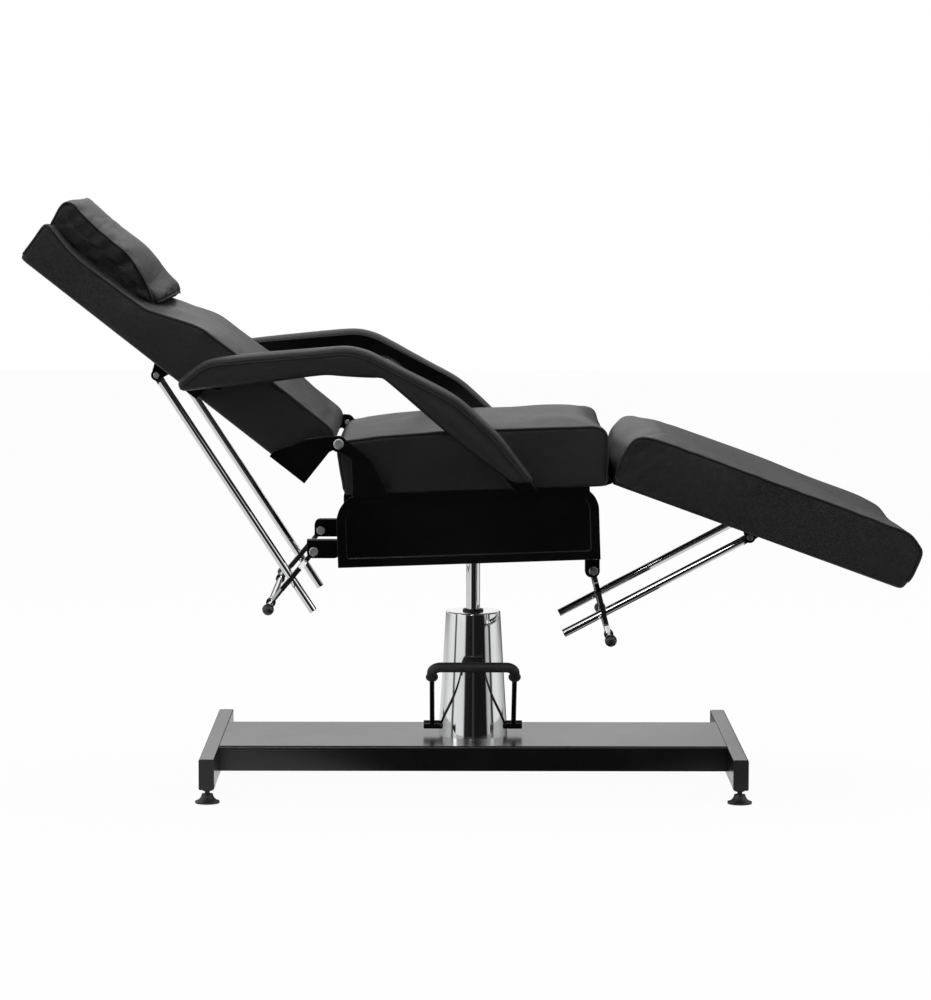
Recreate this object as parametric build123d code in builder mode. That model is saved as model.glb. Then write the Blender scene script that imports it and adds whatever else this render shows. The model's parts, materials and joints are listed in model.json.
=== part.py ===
"""Adjustable couch chair: hydraulic base, seat frame, reclining back, leg rest and linked arms.

Millimetres, +Z up. The origin lies on the floor under the pump axis, +X points to the leg rest
and +Y to the side away from the pedal.
"""
import math
import os

from build123d import *

os.makedirs("parts", exist_ok=True)

# --- shared clearances and cuts
overrun = 4.0
pin_clearance = 0.05
body_gap = 0.3
sheet_gap = 1.0

# --- base frame
base_reach = 1070.0
base_depth = 650.0
bar_width = 30.0
bar_height = 60.0
bar_wall = 3.0
bar_corner = 3.0
beam_depth = 320.0
beam_height = 50.0
beam_wall = 4.0
beam_corner = 5.0
doubler_side = 200.0
doubler_thickness = 6.0
plug_lip = 2.0
plug_depth = 12.0
foot_inset_y = 28.0
foot_diameter = 48.0
foot_neck_diameter = 22.0
foot_pad_height = 18.0
foot_rim = 4.0
foot_stud_diameter = 10.0
foot_nut_width = 17.0
foot_nut_height = 6.0
foot_ground_clearance = 30.0

# --- pump
cylinder_diameter = 60.0
cylinder_bore = 44.0
cylinder_floor = 8.0
cylinder_sump = 40.0
cylinder_guide = 30.0
cylinder_headroom = 10.0
flange_diameter = 128.0
flange_thickness = 8.0
flange_bolt_circle = 104.0
flange_bolt_size = 10.0
flange_bolt_head = 6.5
flange_bolt_width = 16.0
cover_base_diameter = 140.0
cover_top_diameter = 110.0
cover_height = 252.0
cover_wall = 2.0
cover_rim = 3.0
wiper_diameter = 42.0
wiper_height = 4.0
rod_diameter = 28.0
rod_exposed = 117.0
spigot_diameter = 22.0
spigot_length = 38.0
washer_diameter = 44.0
washer_thickness = 4.0
lift_down = 100.0

# --- pedal
pedal_axis_lift = 19.0
pedal_shaft_diameter = 17.5
pedal_shaft_outer = 100.0
pedal_shaft_inner = 40.0
pedal_rod_diameter = 10.0
pedal_half_width = 82.5
pedal_length = 195.0
pedal_corner = 18.0
pedal_angle = 44.3
pedal_bearing_length = 16.0
pedal_bearing_width = 30.0
pedal_bearing_crown = 13.0
sleeve_diameter = 20.0
sleeve_lip_diameter = 25.0
sleeve_lip_length = 5.0
sleeve_start = 163.0
cover_port_gap = 2.0

# --- seat frame, in a plane tilted front-up
seat_tilt = 2.0
frame_thrust_gap = 0.1
frame_lift = 1.5
panel_rear = 266.0
panel_front = 248.0
panel_height = 146.0
panel_inset = 45.0
panel_sheet = 3.0
panel_flange = 26.0
panel_roll = 6.0
panel_rear_corner = 58.0
panel_front_corner = 48.0
panel_emboss_inset = 18.0
panel_emboss_depth = 1.2
tray_sheet = 3.0
tray_wall = 62.0
tray_bend = 5.0
hub_diameter = 64.0
hub_height = 44.0
hub_plate_side = 190.0
hub_plate_thickness = 6.0
hub_rib_height = 26.0
hub_rib_thickness = 5.0

# --- what all cushions share
cushion_half_width = 290.0
cushion_crown = 6.0
cushion_nose = 27.0
cushion_hem = 5.0
cushion_foot_radius = 9.0
seam_width = 3.0
seam_depth = 2.5
seam_inset = 7.0
board_thickness = 12.0
board_end_inset = 12.0
board_side_inset = 18.0
board_corner = 20.0

# --- seat cushion
seat_rear = 264.0
seat_front = 263.0
seat_rear_rise = 108.0
seat_front_rise = 119.0
seat_peak = 20.0
seat_peak_rise = 125.0
seat_peak_radius = 2000.0
seat_rear_foot = 250.0
seat_front_foot = 259.0

# --- recline hinge and back
recline_x = 263.0
recline_rise = 238.5
recline_rest = 38.05
back_start = 4.0
back_start_foot = 18.0
back_length = 709.0
back_foot_length = 704.0
back_thickness = 98.4
back_lumbar_rise = 17.0
back_lumbar_end = 340.0
back_lumbar_radius = 110.0
back_neck = 458.0
back_neck_drop = 24.0
back_neck_radius = 70.0
back_top_drop = 22.0
back_top_nose = 16.0
hinge_sheet = 3.0
hinge_flange = 34.0
hinge_pin_diameter = 10.0
hinge_head_diameter = 20.0
hinge_head_height = 3.5
hinge_eye = 16.0
headrest_start = 450.0
headrest_end = 712.0
headrest_half_width = 195.0
headrest_sink = 8.0
headrest_crown = 5.0
headrest_lip_drop = 6.0
headrest_lip_radius = 8.0
headrest_brow = 502.0
headrest_brow_rise = 27.0
headrest_brow_radius = 32.0
headrest_shoulder = 565.0
headrest_shoulder_rise = 33.0
headrest_shoulder_radius = 200.0
headrest_end_rise = 43.0
headrest_nose = 24.0

# --- leg rest
leg_hinge_x = 266.0
leg_hinge_rise = 160.5
leg_rest_angle = 19.6
leg_start = 5.0
leg_length = 615.0
leg_foot_length = 604.0
leg_thickness = 115.0
leg_tip_thickness = 107.0
leg_tip_nose = 50.0
leg_knuckle = 5.0
leg_hinge_leaf = 3.0
leg_hinge_reach = 40.0
leg_hinge_half_width = 230.0
leg_hinge_pin = 5.0
leg_knuckle_pitch = 46.0

# --- struts and their release levers
strut_diameter = 16.0
strut_tang = 10.0
strut_eye = 10.0
strut_pin = 8.0
strut_chamfer = 1.0
clevis_sheet = 4.0
clevis_width = 56.0
lever_eye = 13.0
lever_neck = 9.0
lever_width = 36.0
lever_slot_width = 17.5
lever_taper_start = 24.0
lever_shoulder = 42.0
bush_outer = 14.0
bolt_diameter = 10.0
bush_play = 0.2
bush_length = 12.6
lever_boss = 9.5
lever_boss_length = 16.0
lever_bar_diameter = 12.0
bolt_head_width = 16.0
bolt_head_height = 6.0
bolt_washer = 18.0
bolt_washer_height = 1.5

rear_strut_spacing = 205.0
rear_pivot_u = 360.7
rear_pivot_v = 120.0
rear_strut_length = 556.0
rear_bolt_x = 314.5
rear_bolt_rise = 20.0
rear_bracket_reach = 328.0
rear_bracket_low = 7.0
rear_bracket_high = 43.5
rear_lever_angle = 230.1
rear_slot_at = 69.0
rear_slot_length = 38.0
rear_lever_length = 132.0
rear_ball_diameter = 23.0
rear_ball_spacing = 321.0

front_strut_spacing = 165.0
front_pivot_x = 301.9
front_pivot_drop = 15.0
front_strut_length = 414.6
front_bolt_x = 236.5
front_bolt_drop = 21.5
front_bracket_low = 220.0
front_bracket_high = 249.0
front_lever_angle = 283.8
front_slot_at = 87.2
front_slot_length = 31.0
front_lever_length = 131.0
front_ball_diameter = 24.0
front_ball_spacing = 265.0

# --- arms
arm_pivot_rise = 225.4
arm_side_gap = 4.5
arm_plate_thickness = 7.5
arm_web = 3.5
arm_pad_thickness = 54.0
arm_length = 700.0
arm_plate_inset = 6.0
arm_bolt_angle = 13.45
arm_slot_out = 12.0
arm_slot_in = 40.0
arm_pin_diameter = 12.0
arm_head_diameter = 20.0
arm_bracket_sheet = 3.5
arm_bracket_width = 44.0
arm_bracket_lean = 60.0

# shares of the arm's length: how far both its bolts lie from the recline hinge, the rounding of
# its pad, and the outline's places from the arm pivot with their corner radii
arm_radius_share = 0.42855
arm_pad_round_share = 0.0164
arm_outline_shares = (
    (-0.8696, 0.1943), (-0.7953, 0.2571), (-0.3739, 0.2943), (-0.0953, 0.1500),
    (0.0190, 0.0457), (0.1247, -0.0857), (0.0533, -0.0857), (-0.3024, 0.2086),
    (-0.4596, 0.2186), (-0.8610, 0.1657),
)
arm_corner_shares = (0.018, 0.12, 0.20, 0.25, 0.25, 0.018, 0.018, 0.08, 0.25, 0.018)

# --- derived places
base_top = foot_ground_clearance + bar_height
beam_length = base_reach - 2 * bar_width
arm_radius = arm_radius_share * arm_length
arm_pivot_x = math.sqrt(arm_radius**2 - (recline_rise - arm_pivot_rise) ** 2) - recline_x
cover_top = base_top + cover_height
rod_shoulder = cover_top + rod_exposed
hub_bottom = rod_shoulder + washer_thickness + frame_thrust_gap
frame_zero = hub_bottom + frame_lift
tilt_rise = math.sin(math.radians(seat_tilt))
side_inner = cushion_half_width + sheet_gap
panel_half_spacing = cushion_half_width - panel_inset
arm_inner = side_inner + arm_side_gap


def side_plane(y, x=0.0, z=0.0, turn=0.0):
    """Upright plane seen from the pedal side, local x turned up by `turn` degrees."""
    angle = math.radians(turn)
    return Plane(origin=(x, y, z), x_dir=(math.cos(angle), 0, math.sin(angle)), z_dir=(0, -1, 0))


def seat_plane(y=0.0):
    return side_plane(y, 0, frame_zero, seat_tilt)


def leg_plane(y=0.0):
    return side_plane(y, leg_hinge_x, frame_zero + leg_hinge_rise, -leg_rest_angle)


def back_plane(y=0.0):
    """Local x runs up the back and local y out of its sitting face."""
    angle = math.radians(recline_rest)
    return Plane(
        origin=(-recline_x, y, frame_zero + recline_rise),
        x_dir=(-math.cos(angle), 0, math.sin(angle)),
        z_dir=(0, 1, 0),
    )


def arm_plane(y=0.0):
    return side_plane(y, arm_pivot_x, frame_zero + arm_pivot_rise)


def world(plane, x, y):
    """A plane's local point as a global one."""
    return plane.from_local_coords(Vector(x, y, 0))


def deck(plane, height):
    """Plane lying along a side plane's local x at a local height, facing its local y."""
    return Plane(origin=world(plane, 0, height), x_dir=plane.x_dir, z_dir=plane.y_dir)


def end_section(plane, x, y):
    """Plane across the object at a side plane's local point, facing along its local x."""
    return Plane(origin=world(plane, x, y), x_dir=plane.z_dir * -1, z_dir=plane.x_dir)


rear_bolt = Vector(-rear_bolt_x, 0, frame_zero + rear_bolt_rise)
front_bolt = Vector(front_bolt_x, 0, frame_zero - front_bolt_drop)
rear_pivot = world(back_plane(), rear_pivot_u, -rear_pivot_v)
front_pivot = world(leg_plane(), front_pivot_x, -front_pivot_drop)
arm_pivot = world(arm_plane(), 0, 0)
recline_pivot = world(back_plane(), 0, 0)


def heading(angle):
    return Vector(math.cos(math.radians(angle)), 0, math.sin(math.radians(angle)))


rear_lever_dir = heading(rear_lever_angle)
front_lever_dir = heading(front_lever_angle)
rear_strut_dir = (rear_bolt + rear_lever_dir * rear_slot_at - rear_pivot).normalized()
front_strut_dir = (front_bolt + front_lever_dir * front_slot_at - front_pivot).normalized()


# the arm's sliding bolt lies as far from the recline hinge as the arm pivot does
arm_bolt_u = arm_radius * math.cos(math.radians(arm_bolt_angle))
arm_bolt_v = -arm_radius * math.sin(math.radians(arm_bolt_angle))
arm_bolt = world(back_plane(), arm_bolt_u, arm_bolt_v)
arm_slot_dir = (arm_bolt - arm_pivot).normalized()
arm_slot_turn = math.degrees(math.atan2(arm_slot_dir.Z, arm_slot_dir.X))


def save(piece, node):
    piece.label = node
    export_step(piece, f"parts/{node}.step")


# --- base frame
with BuildPart() as base_beam:
    with BuildSketch(Plane.XY.offset(base_top - beam_height)):
        Rectangle(beam_length, beam_depth)
    extrude(amount=beam_height)
    fillet(base_beam.edges().filter_by(Axis.X).group_by(Axis.Z)[-1], beam_corner)
    with BuildSketch(Plane.XY.offset(base_top - beam_height)):
        Rectangle(beam_length - 2 * beam_wall, beam_depth - 2 * beam_wall)
    extrude(amount=beam_height - beam_wall, mode=Mode.SUBTRACT)
    with BuildSketch(Plane.XY.offset(base_top - beam_wall)):
        Rectangle(doubler_side, doubler_side)
    extrude(amount=-doubler_thickness)
    with BuildSketch(Plane.XY.offset(base_top)):
        Circle(cylinder_diameter / 2 + sheet_gap)
        with PolarLocations(flange_bolt_circle / 2, 4, start_angle=45):
            Circle(flange_bolt_size / 2)
    extrude(amount=-beam_height, mode=Mode.SUBTRACT)
save(base_beam.part, "base_beam")

for side, node in ((-1, "end_bar_head"), (1, "end_bar_foot")):
    bar_x = side * (base_reach - bar_width) / 2
    with BuildPart() as end_bar:
        with BuildSketch(Plane.XZ.offset(-base_depth / 2)):
            with Locations((bar_x, foot_ground_clearance + bar_height / 2)):
                RectangleRounded(bar_width, bar_height, bar_corner)
                RectangleRounded(
                    bar_width - 2 * bar_wall, bar_height - 2 * bar_wall,
                    bar_corner / 2, mode=Mode.SUBTRACT,
                )
        extrude(amount=base_depth)
        with BuildSketch(Plane.XY.offset(foot_ground_clearance)):
            with Locations((bar_x, 0)):
                with GridLocations(0, base_depth - 2 * foot_inset_y, 1, 2):
                    Circle(foot_stud_diameter / 2)
        extrude(amount=bar_wall, mode=Mode.SUBTRACT)
    save(end_bar.part, node)

plug_width = bar_width - 2 * bar_wall - 2 * body_gap
plug_height = bar_height - 2 * bar_wall - 2 * body_gap
with BuildPart() as bar_end_plugs:
    for side in (-1, 1):
        with BuildSketch(Plane.XZ.offset(side * base_depth / 2)):
            with Locations((0, foot_ground_clearance + bar_height / 2)):
                with GridLocations(base_reach - bar_width, 0, 2, 1):
                    RectangleRounded(bar_width, bar_height, bar_corner)
        extrude(amount=side * plug_lip)
        with BuildSketch(Plane.XZ.offset(side * base_depth / 2)):
            with Locations((0, foot_ground_clearance + bar_height / 2)):
                with GridLocations(base_reach - bar_width, 0, 2, 1):
                    RectangleRounded(plug_width, plug_height, bar_corner / 2)
        extrude(amount=-side * plug_depth)
save(bar_end_plugs.part, "bar_end_plugs")

foot_places = [
    Vector(x, y, 0)
    for x in (-(base_reach - bar_width) / 2, (base_reach - bar_width) / 2)
    for y in (-(base_depth / 2 - foot_inset_y), base_depth / 2 - foot_inset_y)
]
with BuildPart() as levelling_feet:
    for place in foot_places:
        with BuildSketch(Plane(origin=place, x_dir=(1, 0, 0), z_dir=(0, -1, 0))):
            with BuildLine():
                Polyline((0, 0), (foot_diameter / 2, 0), (foot_diameter / 2, foot_rim))
                ThreePointArc(
                    (foot_diameter / 2, foot_rim),
                    (foot_neck_diameter / 2 + foot_rim, foot_pad_height / 2),
                    (foot_neck_diameter / 2, foot_pad_height),
                )
                Polyline((foot_neck_diameter / 2, foot_pad_height), (0, foot_pad_height), (0, 0))
            make_face()
        revolve(axis=Axis(place, (0, 0, 1)))
        with BuildSketch(Plane(origin=place + Vector(0, 0, foot_pad_height))):
            Circle(foot_stud_diameter / 2 - pin_clearance)
        extrude(amount=foot_ground_clearance + bar_wall - foot_pad_height + plug_lip)
        with BuildSketch(
            Plane(origin=place + Vector(0, 0, foot_ground_clearance - foot_nut_height))
        ):
            RegularPolygon(foot_nut_width / 2, 6, major_radius=False)
        extrude(amount=foot_nut_height)
save(levelling_feet.part, "levelling_feet")

# --- pump
cylinder_bottom = base_top - beam_height + beam_wall
cylinder_top = cover_top - cover_wall - cylinder_headroom
with BuildPart() as pump_cylinder:
    with BuildSketch(Plane.XZ):
        with BuildLine():
            Polyline(
                (0, cylinder_bottom),
                (cylinder_diameter / 2, cylinder_bottom),
                (cylinder_diameter / 2, base_top),
                (flange_diameter / 2, base_top),
                (flange_diameter / 2, base_top + flange_thickness),
                (cylinder_diameter / 2, base_top + flange_thickness),
                (cylinder_diameter / 2, cylinder_top),
                (rod_diameter / 2 + pin_clearance, cylinder_top),
                (rod_diameter / 2 + pin_clearance, cylinder_top - cylinder_guide),
                (cylinder_bore / 2, cylinder_top - cylinder_guide),
                (cylinder_bore / 2, cylinder_bottom + cylinder_floor),
                (0, cylinder_bottom + cylinder_floor),
                close=True,
            )
        make_face()
    revolve(axis=Axis.Z)
    with BuildSketch(Plane.XY.offset(base_top + flange_thickness)):
        with PolarLocations(flange_bolt_circle / 2, 4, start_angle=45):
            Circle(flange_bolt_size / 2)
    extrude(amount=-flange_thickness, mode=Mode.SUBTRACT)
    for side in (-1, 1):
        with BuildSketch(Plane.YZ.offset(side * pedal_shaft_inner)):
            with Locations((0, base_top + pedal_axis_lift)):
                Circle(pedal_bearing_crown)
            with Locations((0, base_top + flange_thickness)):
                Rectangle(
                    pedal_bearing_width, pedal_axis_lift - flange_thickness,
                    align=(Align.CENTER, Align.MIN),
                )
            with Locations((0, base_top + pedal_axis_lift)):
                Circle(pedal_shaft_diameter / 2 + pin_clearance, mode=Mode.SUBTRACT)
        extrude(amount=side * pedal_bearing_length)
save(pump_cylinder.part, "pump_cylinder")

with BuildPart() as flange_bolts:
    with BuildSketch(Plane.XY.offset(base_top + flange_thickness)):
        with PolarLocations(flange_bolt_circle / 2, 4, start_angle=45):
            RegularPolygon(flange_bolt_width / 2, 6, major_radius=False)
    extrude(amount=flange_bolt_head)
    with BuildSketch(Plane.XY.offset(base_top + flange_thickness)):
        with PolarLocations(flange_bolt_circle / 2, 4, start_angle=45):
            Circle(flange_bolt_size / 2 - pin_clearance)
    extrude(amount=-(flange_thickness + beam_wall + doubler_thickness))
    with BuildSketch(Plane.XY.offset(base_top - beam_wall - doubler_thickness)):
        with PolarLocations(flange_bolt_circle / 2, 4, start_angle=45):
            RegularPolygon(flange_bolt_width / 2, 6, major_radius=False)
    extrude(amount=-flange_bolt_head)
save(flange_bolts.part, "flange_bolts")

pedal_axis_z = base_top + pedal_axis_lift
with BuildPart() as pump_cover:
    with BuildSketch(Plane.XZ):
        with BuildLine():
            Polyline(
                (rod_diameter / 2 + sheet_gap, cover_top),
                (cover_top_diameter / 2, cover_top),
                (cover_base_diameter / 2, base_top),
                (cover_base_diameter / 2 - cover_wall, base_top),
                (cover_top_diameter / 2 - cover_wall, cover_top - cover_wall),
                (rod_diameter / 2 + sheet_gap, cover_top - cover_wall),
                close=True,
            )
        make_face()
    revolve(axis=Axis.Z)
    fillet(
        pump_cover.edges().filter_by(GeomType.CIRCLE).sort_by(
            lambda edge: edge.center().Z + edge.radius
        )[-1],
        cover_rim,
    )
    with BuildSketch(Plane.YZ.offset(-cover_base_diameter)):
        with Locations((0, pedal_axis_z)):
            Circle(pedal_shaft_diameter / 2 + cover_port_gap)
    extrude(amount=2 * cover_base_diameter, mode=Mode.SUBTRACT)
save(pump_cover.part, "pump_cover")

with BuildPart() as wiper_ring:
    with BuildSketch(Plane.XY.offset(cover_top)):
        Circle(wiper_diameter / 2)
        Circle(rod_diameter / 2 + pin_clearance, mode=Mode.SUBTRACT)
    extrude(amount=wiper_height)
    chamfer(
        wiper_ring.edges().filter_by(GeomType.CIRCLE).group_by(Axis.Z)[-1].sort_by(
            SortBy.RADIUS
        )[-1],
        wiper_height / 3,
    )
save(wiper_ring.part, "wiper_ring")

# --- piston rod and thrust washer
rod_bottom = cylinder_bottom + cylinder_floor + cylinder_sump + lift_down
with BuildPart() as piston_rod:
    with BuildSketch(Plane.XZ):
        with BuildLine():
            Polyline(
                (0, rod_bottom),
                (rod_diameter / 2 - strut_chamfer, rod_bottom),
                (rod_diameter / 2, rod_bottom + strut_chamfer),
                (rod_diameter / 2, rod_shoulder),
                (spigot_diameter / 2, rod_shoulder),
                (spigot_diameter / 2, rod_shoulder + spigot_length - strut_chamfer),
                (spigot_diameter / 2 - strut_chamfer, rod_shoulder + spigot_length),
                (0, rod_shoulder + spigot_length),
                close=True,
            )
        make_face()
    revolve(axis=Axis.Z)
save(piston_rod.part, "piston_rod")

with BuildPart() as thrust_washer:
    with BuildSketch(Plane.XY.offset(rod_shoulder)):
        Circle(washer_diameter / 2)
        Circle(spigot_diameter / 2 + pin_clearance, mode=Mode.SUBTRACT)
    extrude(amount=washer_thickness)
save(thrust_washer.part, "thrust_washer")

# --- pedal: bent rod with its two pivot stubs, and the rubber grip on its bar
pedal_slope = math.radians(pedal_angle)
pedal_plane = Plane(
    origin=(0, 0, pedal_axis_z),
    x_dir=(1, 0, 0),
    z_dir=(0, -math.sin(pedal_slope), -math.cos(pedal_slope)),
)
pedal_leg_y = pedal_length - pedal_corner


def pedal_path(start):
    """Centre line of the bent rod in the pedal's plane, from one leg to the other."""
    bend = pedal_half_width - pedal_corner
    edge = pedal_corner * (1 - math.sqrt(0.5))
    Polyline((-pedal_half_width, start), (-pedal_half_width, pedal_leg_y))
    ThreePointArc(
        (-pedal_half_width, pedal_leg_y),
        (-pedal_half_width + edge, pedal_length - edge),
        (-bend, pedal_length),
    )
    Line((-bend, pedal_length), (bend, pedal_length))
    ThreePointArc(
        (bend, pedal_length),
        (pedal_half_width - edge, pedal_length - edge),
        (pedal_half_width, pedal_leg_y),
    )
    Line((pedal_half_width, pedal_leg_y), (pedal_half_width, start))


def leg_section(start):
    """Plane square to the pedal's first leg."""
    return Plane(
        origin=world(pedal_plane, -pedal_half_width, start),
        x_dir=(1, 0, 0),
        z_dir=pedal_plane.y_dir,
    )


with BuildPart() as pedal_yoke:
    with BuildLine(pedal_plane):
        pedal_path(0)
    with BuildSketch(leg_section(0)):
        Circle(pedal_rod_diameter / 2)
    sweep()
    for side in (-1, 1):
        with BuildSketch(Plane.YZ.offset(side * pedal_shaft_inner)):
            with Locations((0, pedal_axis_z)):
                Circle(pedal_shaft_diameter / 2)
        extrude(amount=side * (pedal_shaft_outer - pedal_shaft_inner))
    chamfer(
        pedal_yoke.edges().filter_by(GeomType.CIRCLE).group_by(Axis.X)[0]
        + pedal_yoke.edges().filter_by(GeomType.CIRCLE).group_by(Axis.X)[-1],
        strut_chamfer,
    )
save(pedal_yoke.part, "pedal_yoke")

with BuildPart() as pedal_sleeve:
    with BuildLine(pedal_plane):
        pedal_path(sleeve_start)
    with BuildSketch(leg_section(sleeve_start)):
        Circle(sleeve_diameter / 2)
        Circle(pedal_rod_diameter / 2, mode=Mode.SUBTRACT)
    sweep()
    for side in (-1, 1):
        with BuildSketch(
            Plane(
                origin=world(pedal_plane, side * pedal_half_width, sleeve_start),
                x_dir=(1, 0, 0),
                z_dir=pedal_plane.y_dir,
            )
        ):
            Circle(sleeve_lip_diameter / 2)
            Circle(pedal_rod_diameter / 2, mode=Mode.SUBTRACT)
        extrude(amount=sleeve_lip_length, taper=20)
save(pedal_sleeve.part, "pedal_sleeve")

# --- seat frame: pressed side panels, an under tray between them and the swivel hub
panel_corners = (
    (-panel_rear, 0), (-panel_rear, panel_height), (panel_front, panel_height), (panel_front, 0),
)
tray_floor = panel_sheet
tray_inner = panel_half_spacing - panel_sheet
for side, node in ((-1, "side_panel_near"), (1, "side_panel_far")):
    with BuildPart() as side_panel:
        with BuildSketch(seat_plane(side * panel_half_spacing)) as panel_sketch:
            with BuildLine():
                Polyline(*panel_corners, close=True)
            make_face()
            fillet(
                panel_sketch.vertices().group_by(Axis.Y)[-1].sort_by(Axis.X)[0],
                panel_rear_corner,
            )
            fillet(
                panel_sketch.vertices().group_by(Axis.Y)[-1].sort_by(Axis.X)[-1],
                panel_front_corner,
            )
        extrude(amount=side * panel_sheet)
        with BuildSketch(seat_plane(side * panel_half_spacing)):
            with BuildLine():
                Polyline((-panel_rear, 0), (panel_front, 0), (panel_front, panel_sheet),
                         (-panel_rear, panel_sheet), close=True)
            make_face()
        extrude(amount=side * panel_flange)
        fillet(
            side_panel.edges().filter_by(lambda edge: edge.length > panel_front + panel_rear
                                         - panel_sheet).group_by(Axis.Z)[0].sort_by(
                lambda edge: abs(edge.center().Y)
            )[-1],
            panel_sheet - pin_clearance,
        )
        with BuildSketch(seat_plane(side * panel_half_spacing)) as emboss:
            with BuildLine():
                Polyline(
                    (-panel_rear + panel_emboss_inset, panel_emboss_inset),
                    (-panel_rear + panel_emboss_inset, panel_height - panel_emboss_inset),
                    (panel_front - panel_emboss_inset, panel_height - panel_emboss_inset),
                    (panel_front - panel_emboss_inset, panel_emboss_inset),
                    close=True,
                )
            make_face()
            fillet(
                emboss.vertices().group_by(Axis.Y)[-1].sort_by(Axis.X)[0],
                panel_rear_corner - panel_emboss_inset,
            )
            fillet(
                emboss.vertices().group_by(Axis.Y)[-1].sort_by(Axis.X)[-1],
                panel_front_corner - panel_emboss_inset,
            )
            fillet(emboss.vertices().group_by(Axis.Y)[0], panel_roll)
        extrude(amount=side * panel_emboss_depth, mode=Mode.SUBTRACT)
    save(side_panel.part, node)

with BuildPart() as under_tray:
    with BuildSketch(seat_plane()) as tray_section:
        with BuildLine():
            Polyline(
                (-panel_rear, tray_floor + tray_wall),
                (-panel_rear, tray_floor),
                (panel_front, tray_floor),
                (panel_front, tray_floor + tray_wall),
                (panel_front - tray_sheet, tray_floor + tray_wall),
                (panel_front - tray_sheet, tray_floor + tray_sheet),
                (-panel_rear + tray_sheet, tray_floor + tray_sheet),
                (-panel_rear + tray_sheet, tray_floor + tray_wall),
                close=True,
            )
        make_face()
        fillet(tray_section.vertices().group_by(Axis.Y)[0], tray_bend)
        fillet(tray_section.vertices().group_by(Axis.Y)[1], tray_bend - tray_sheet)
    extrude(amount=tray_inner, both=True)
    with BuildSketch(Plane.XY.offset(frame_zero)):
        Circle(hub_diameter / 2)
    extrude(amount=hub_height, mode=Mode.SUBTRACT)
    for pivot, spacing, outline in (
        (
            rear_bolt, rear_strut_spacing,
            (
                Vector(-panel_rear + tray_sheet, 0, rear_bracket_low),
                Vector(-rear_bracket_reach, 0, rear_bracket_low),
                Vector(-rear_bracket_reach, 0, rear_bracket_high),
                Vector(-panel_rear + tray_sheet, 0, rear_bracket_high),
            ),
        ),
        (
            front_bolt, front_strut_spacing,
            (
                Vector(front_bracket_low, 0, tray_floor + tray_sheet + tilt_rise * front_bracket_low),
                Vector(front_bracket_low, 0, -front_bolt_drop - lever_eye),
                Vector(front_bracket_high, 0, -front_bolt_drop - lever_eye),
                Vector(front_bracket_high, 0, tray_floor + tray_sheet
                       + tilt_rise * front_bracket_low),
            ),
        ),
    ):
        for side in (-1, 1):
            for face in (-1, 1):
                cheek_y = side * spacing + face * bush_length / 2
                with BuildSketch(side_plane(cheek_y, 0, frame_zero)) as cheek:
                    with BuildLine():
                        Polyline(*[(point.X, point.Z) for point in outline], close=True)
                    make_face()
                    fillet(cheek.vertices().sort_by_distance((pivot.X, cheek_y, pivot.Z))[0:2],
                           lever_eye - sheet_gap)
                    with Locations((pivot.X, pivot.Z - frame_zero)):
                        Circle(bolt_diameter / 2, mode=Mode.SUBTRACT)
                extrude(amount=-face * clevis_sheet)
save(under_tray.part, "under_tray")

hub_deck = tray_floor + tray_sheet
with BuildPart() as swivel_hub:
    with BuildSketch(Plane.XY.offset(hub_bottom)):
        Circle(hub_diameter / 2)
    extrude(amount=hub_height)
    with BuildSketch(deck(seat_plane(), hub_deck)):
        RectangleRounded(hub_plate_side, hub_plate_side, hub_rib_height / 2)
    extrude(amount=hub_plate_thickness)
    for rib_plane in (
        seat_plane(),
        end_section(seat_plane(), 0, 0),
    ):
        with BuildSketch(rib_plane):
            with BuildLine():
                Polyline(
                    (-hub_plate_side / 2 + hub_rib_thickness, hub_deck + hub_rib_thickness),
                    (-hub_diameter / 2, hub_deck + hub_rib_height),
                    (hub_diameter / 2, hub_deck + hub_rib_height),
                    (hub_plate_side / 2 - hub_rib_thickness, hub_deck + hub_rib_thickness),
                    close=True,
                )
            make_face()
        extrude(amount=hub_rib_thickness / 2, both=True)
    with BuildSketch(Plane.XY.offset(hub_bottom)):
        Circle(spigot_diameter / 2 + pin_clearance)
    extrude(amount=spigot_length + sheet_gap, mode=Mode.SUBTRACT)
save(swivel_hub.part, "swivel_hub")


# --- cushions and the boards let into their undersides
def board_outline(start, end, half_width):
    with Locations(((start + end) / 2, 0)):
        RectangleRounded(
            end - start - 2 * board_end_inset, 2 * (half_width - board_side_inset), board_corner
        )


def board(node, plane, foot, half_width):
    (start, foot_y), (end, _) = foot
    with BuildPart() as ply:
        with BuildSketch(deck(plane, foot_y)):
            board_outline(start, end, half_width)
        extrude(amount=board_thickness)
    save(ply.part, node)


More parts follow.
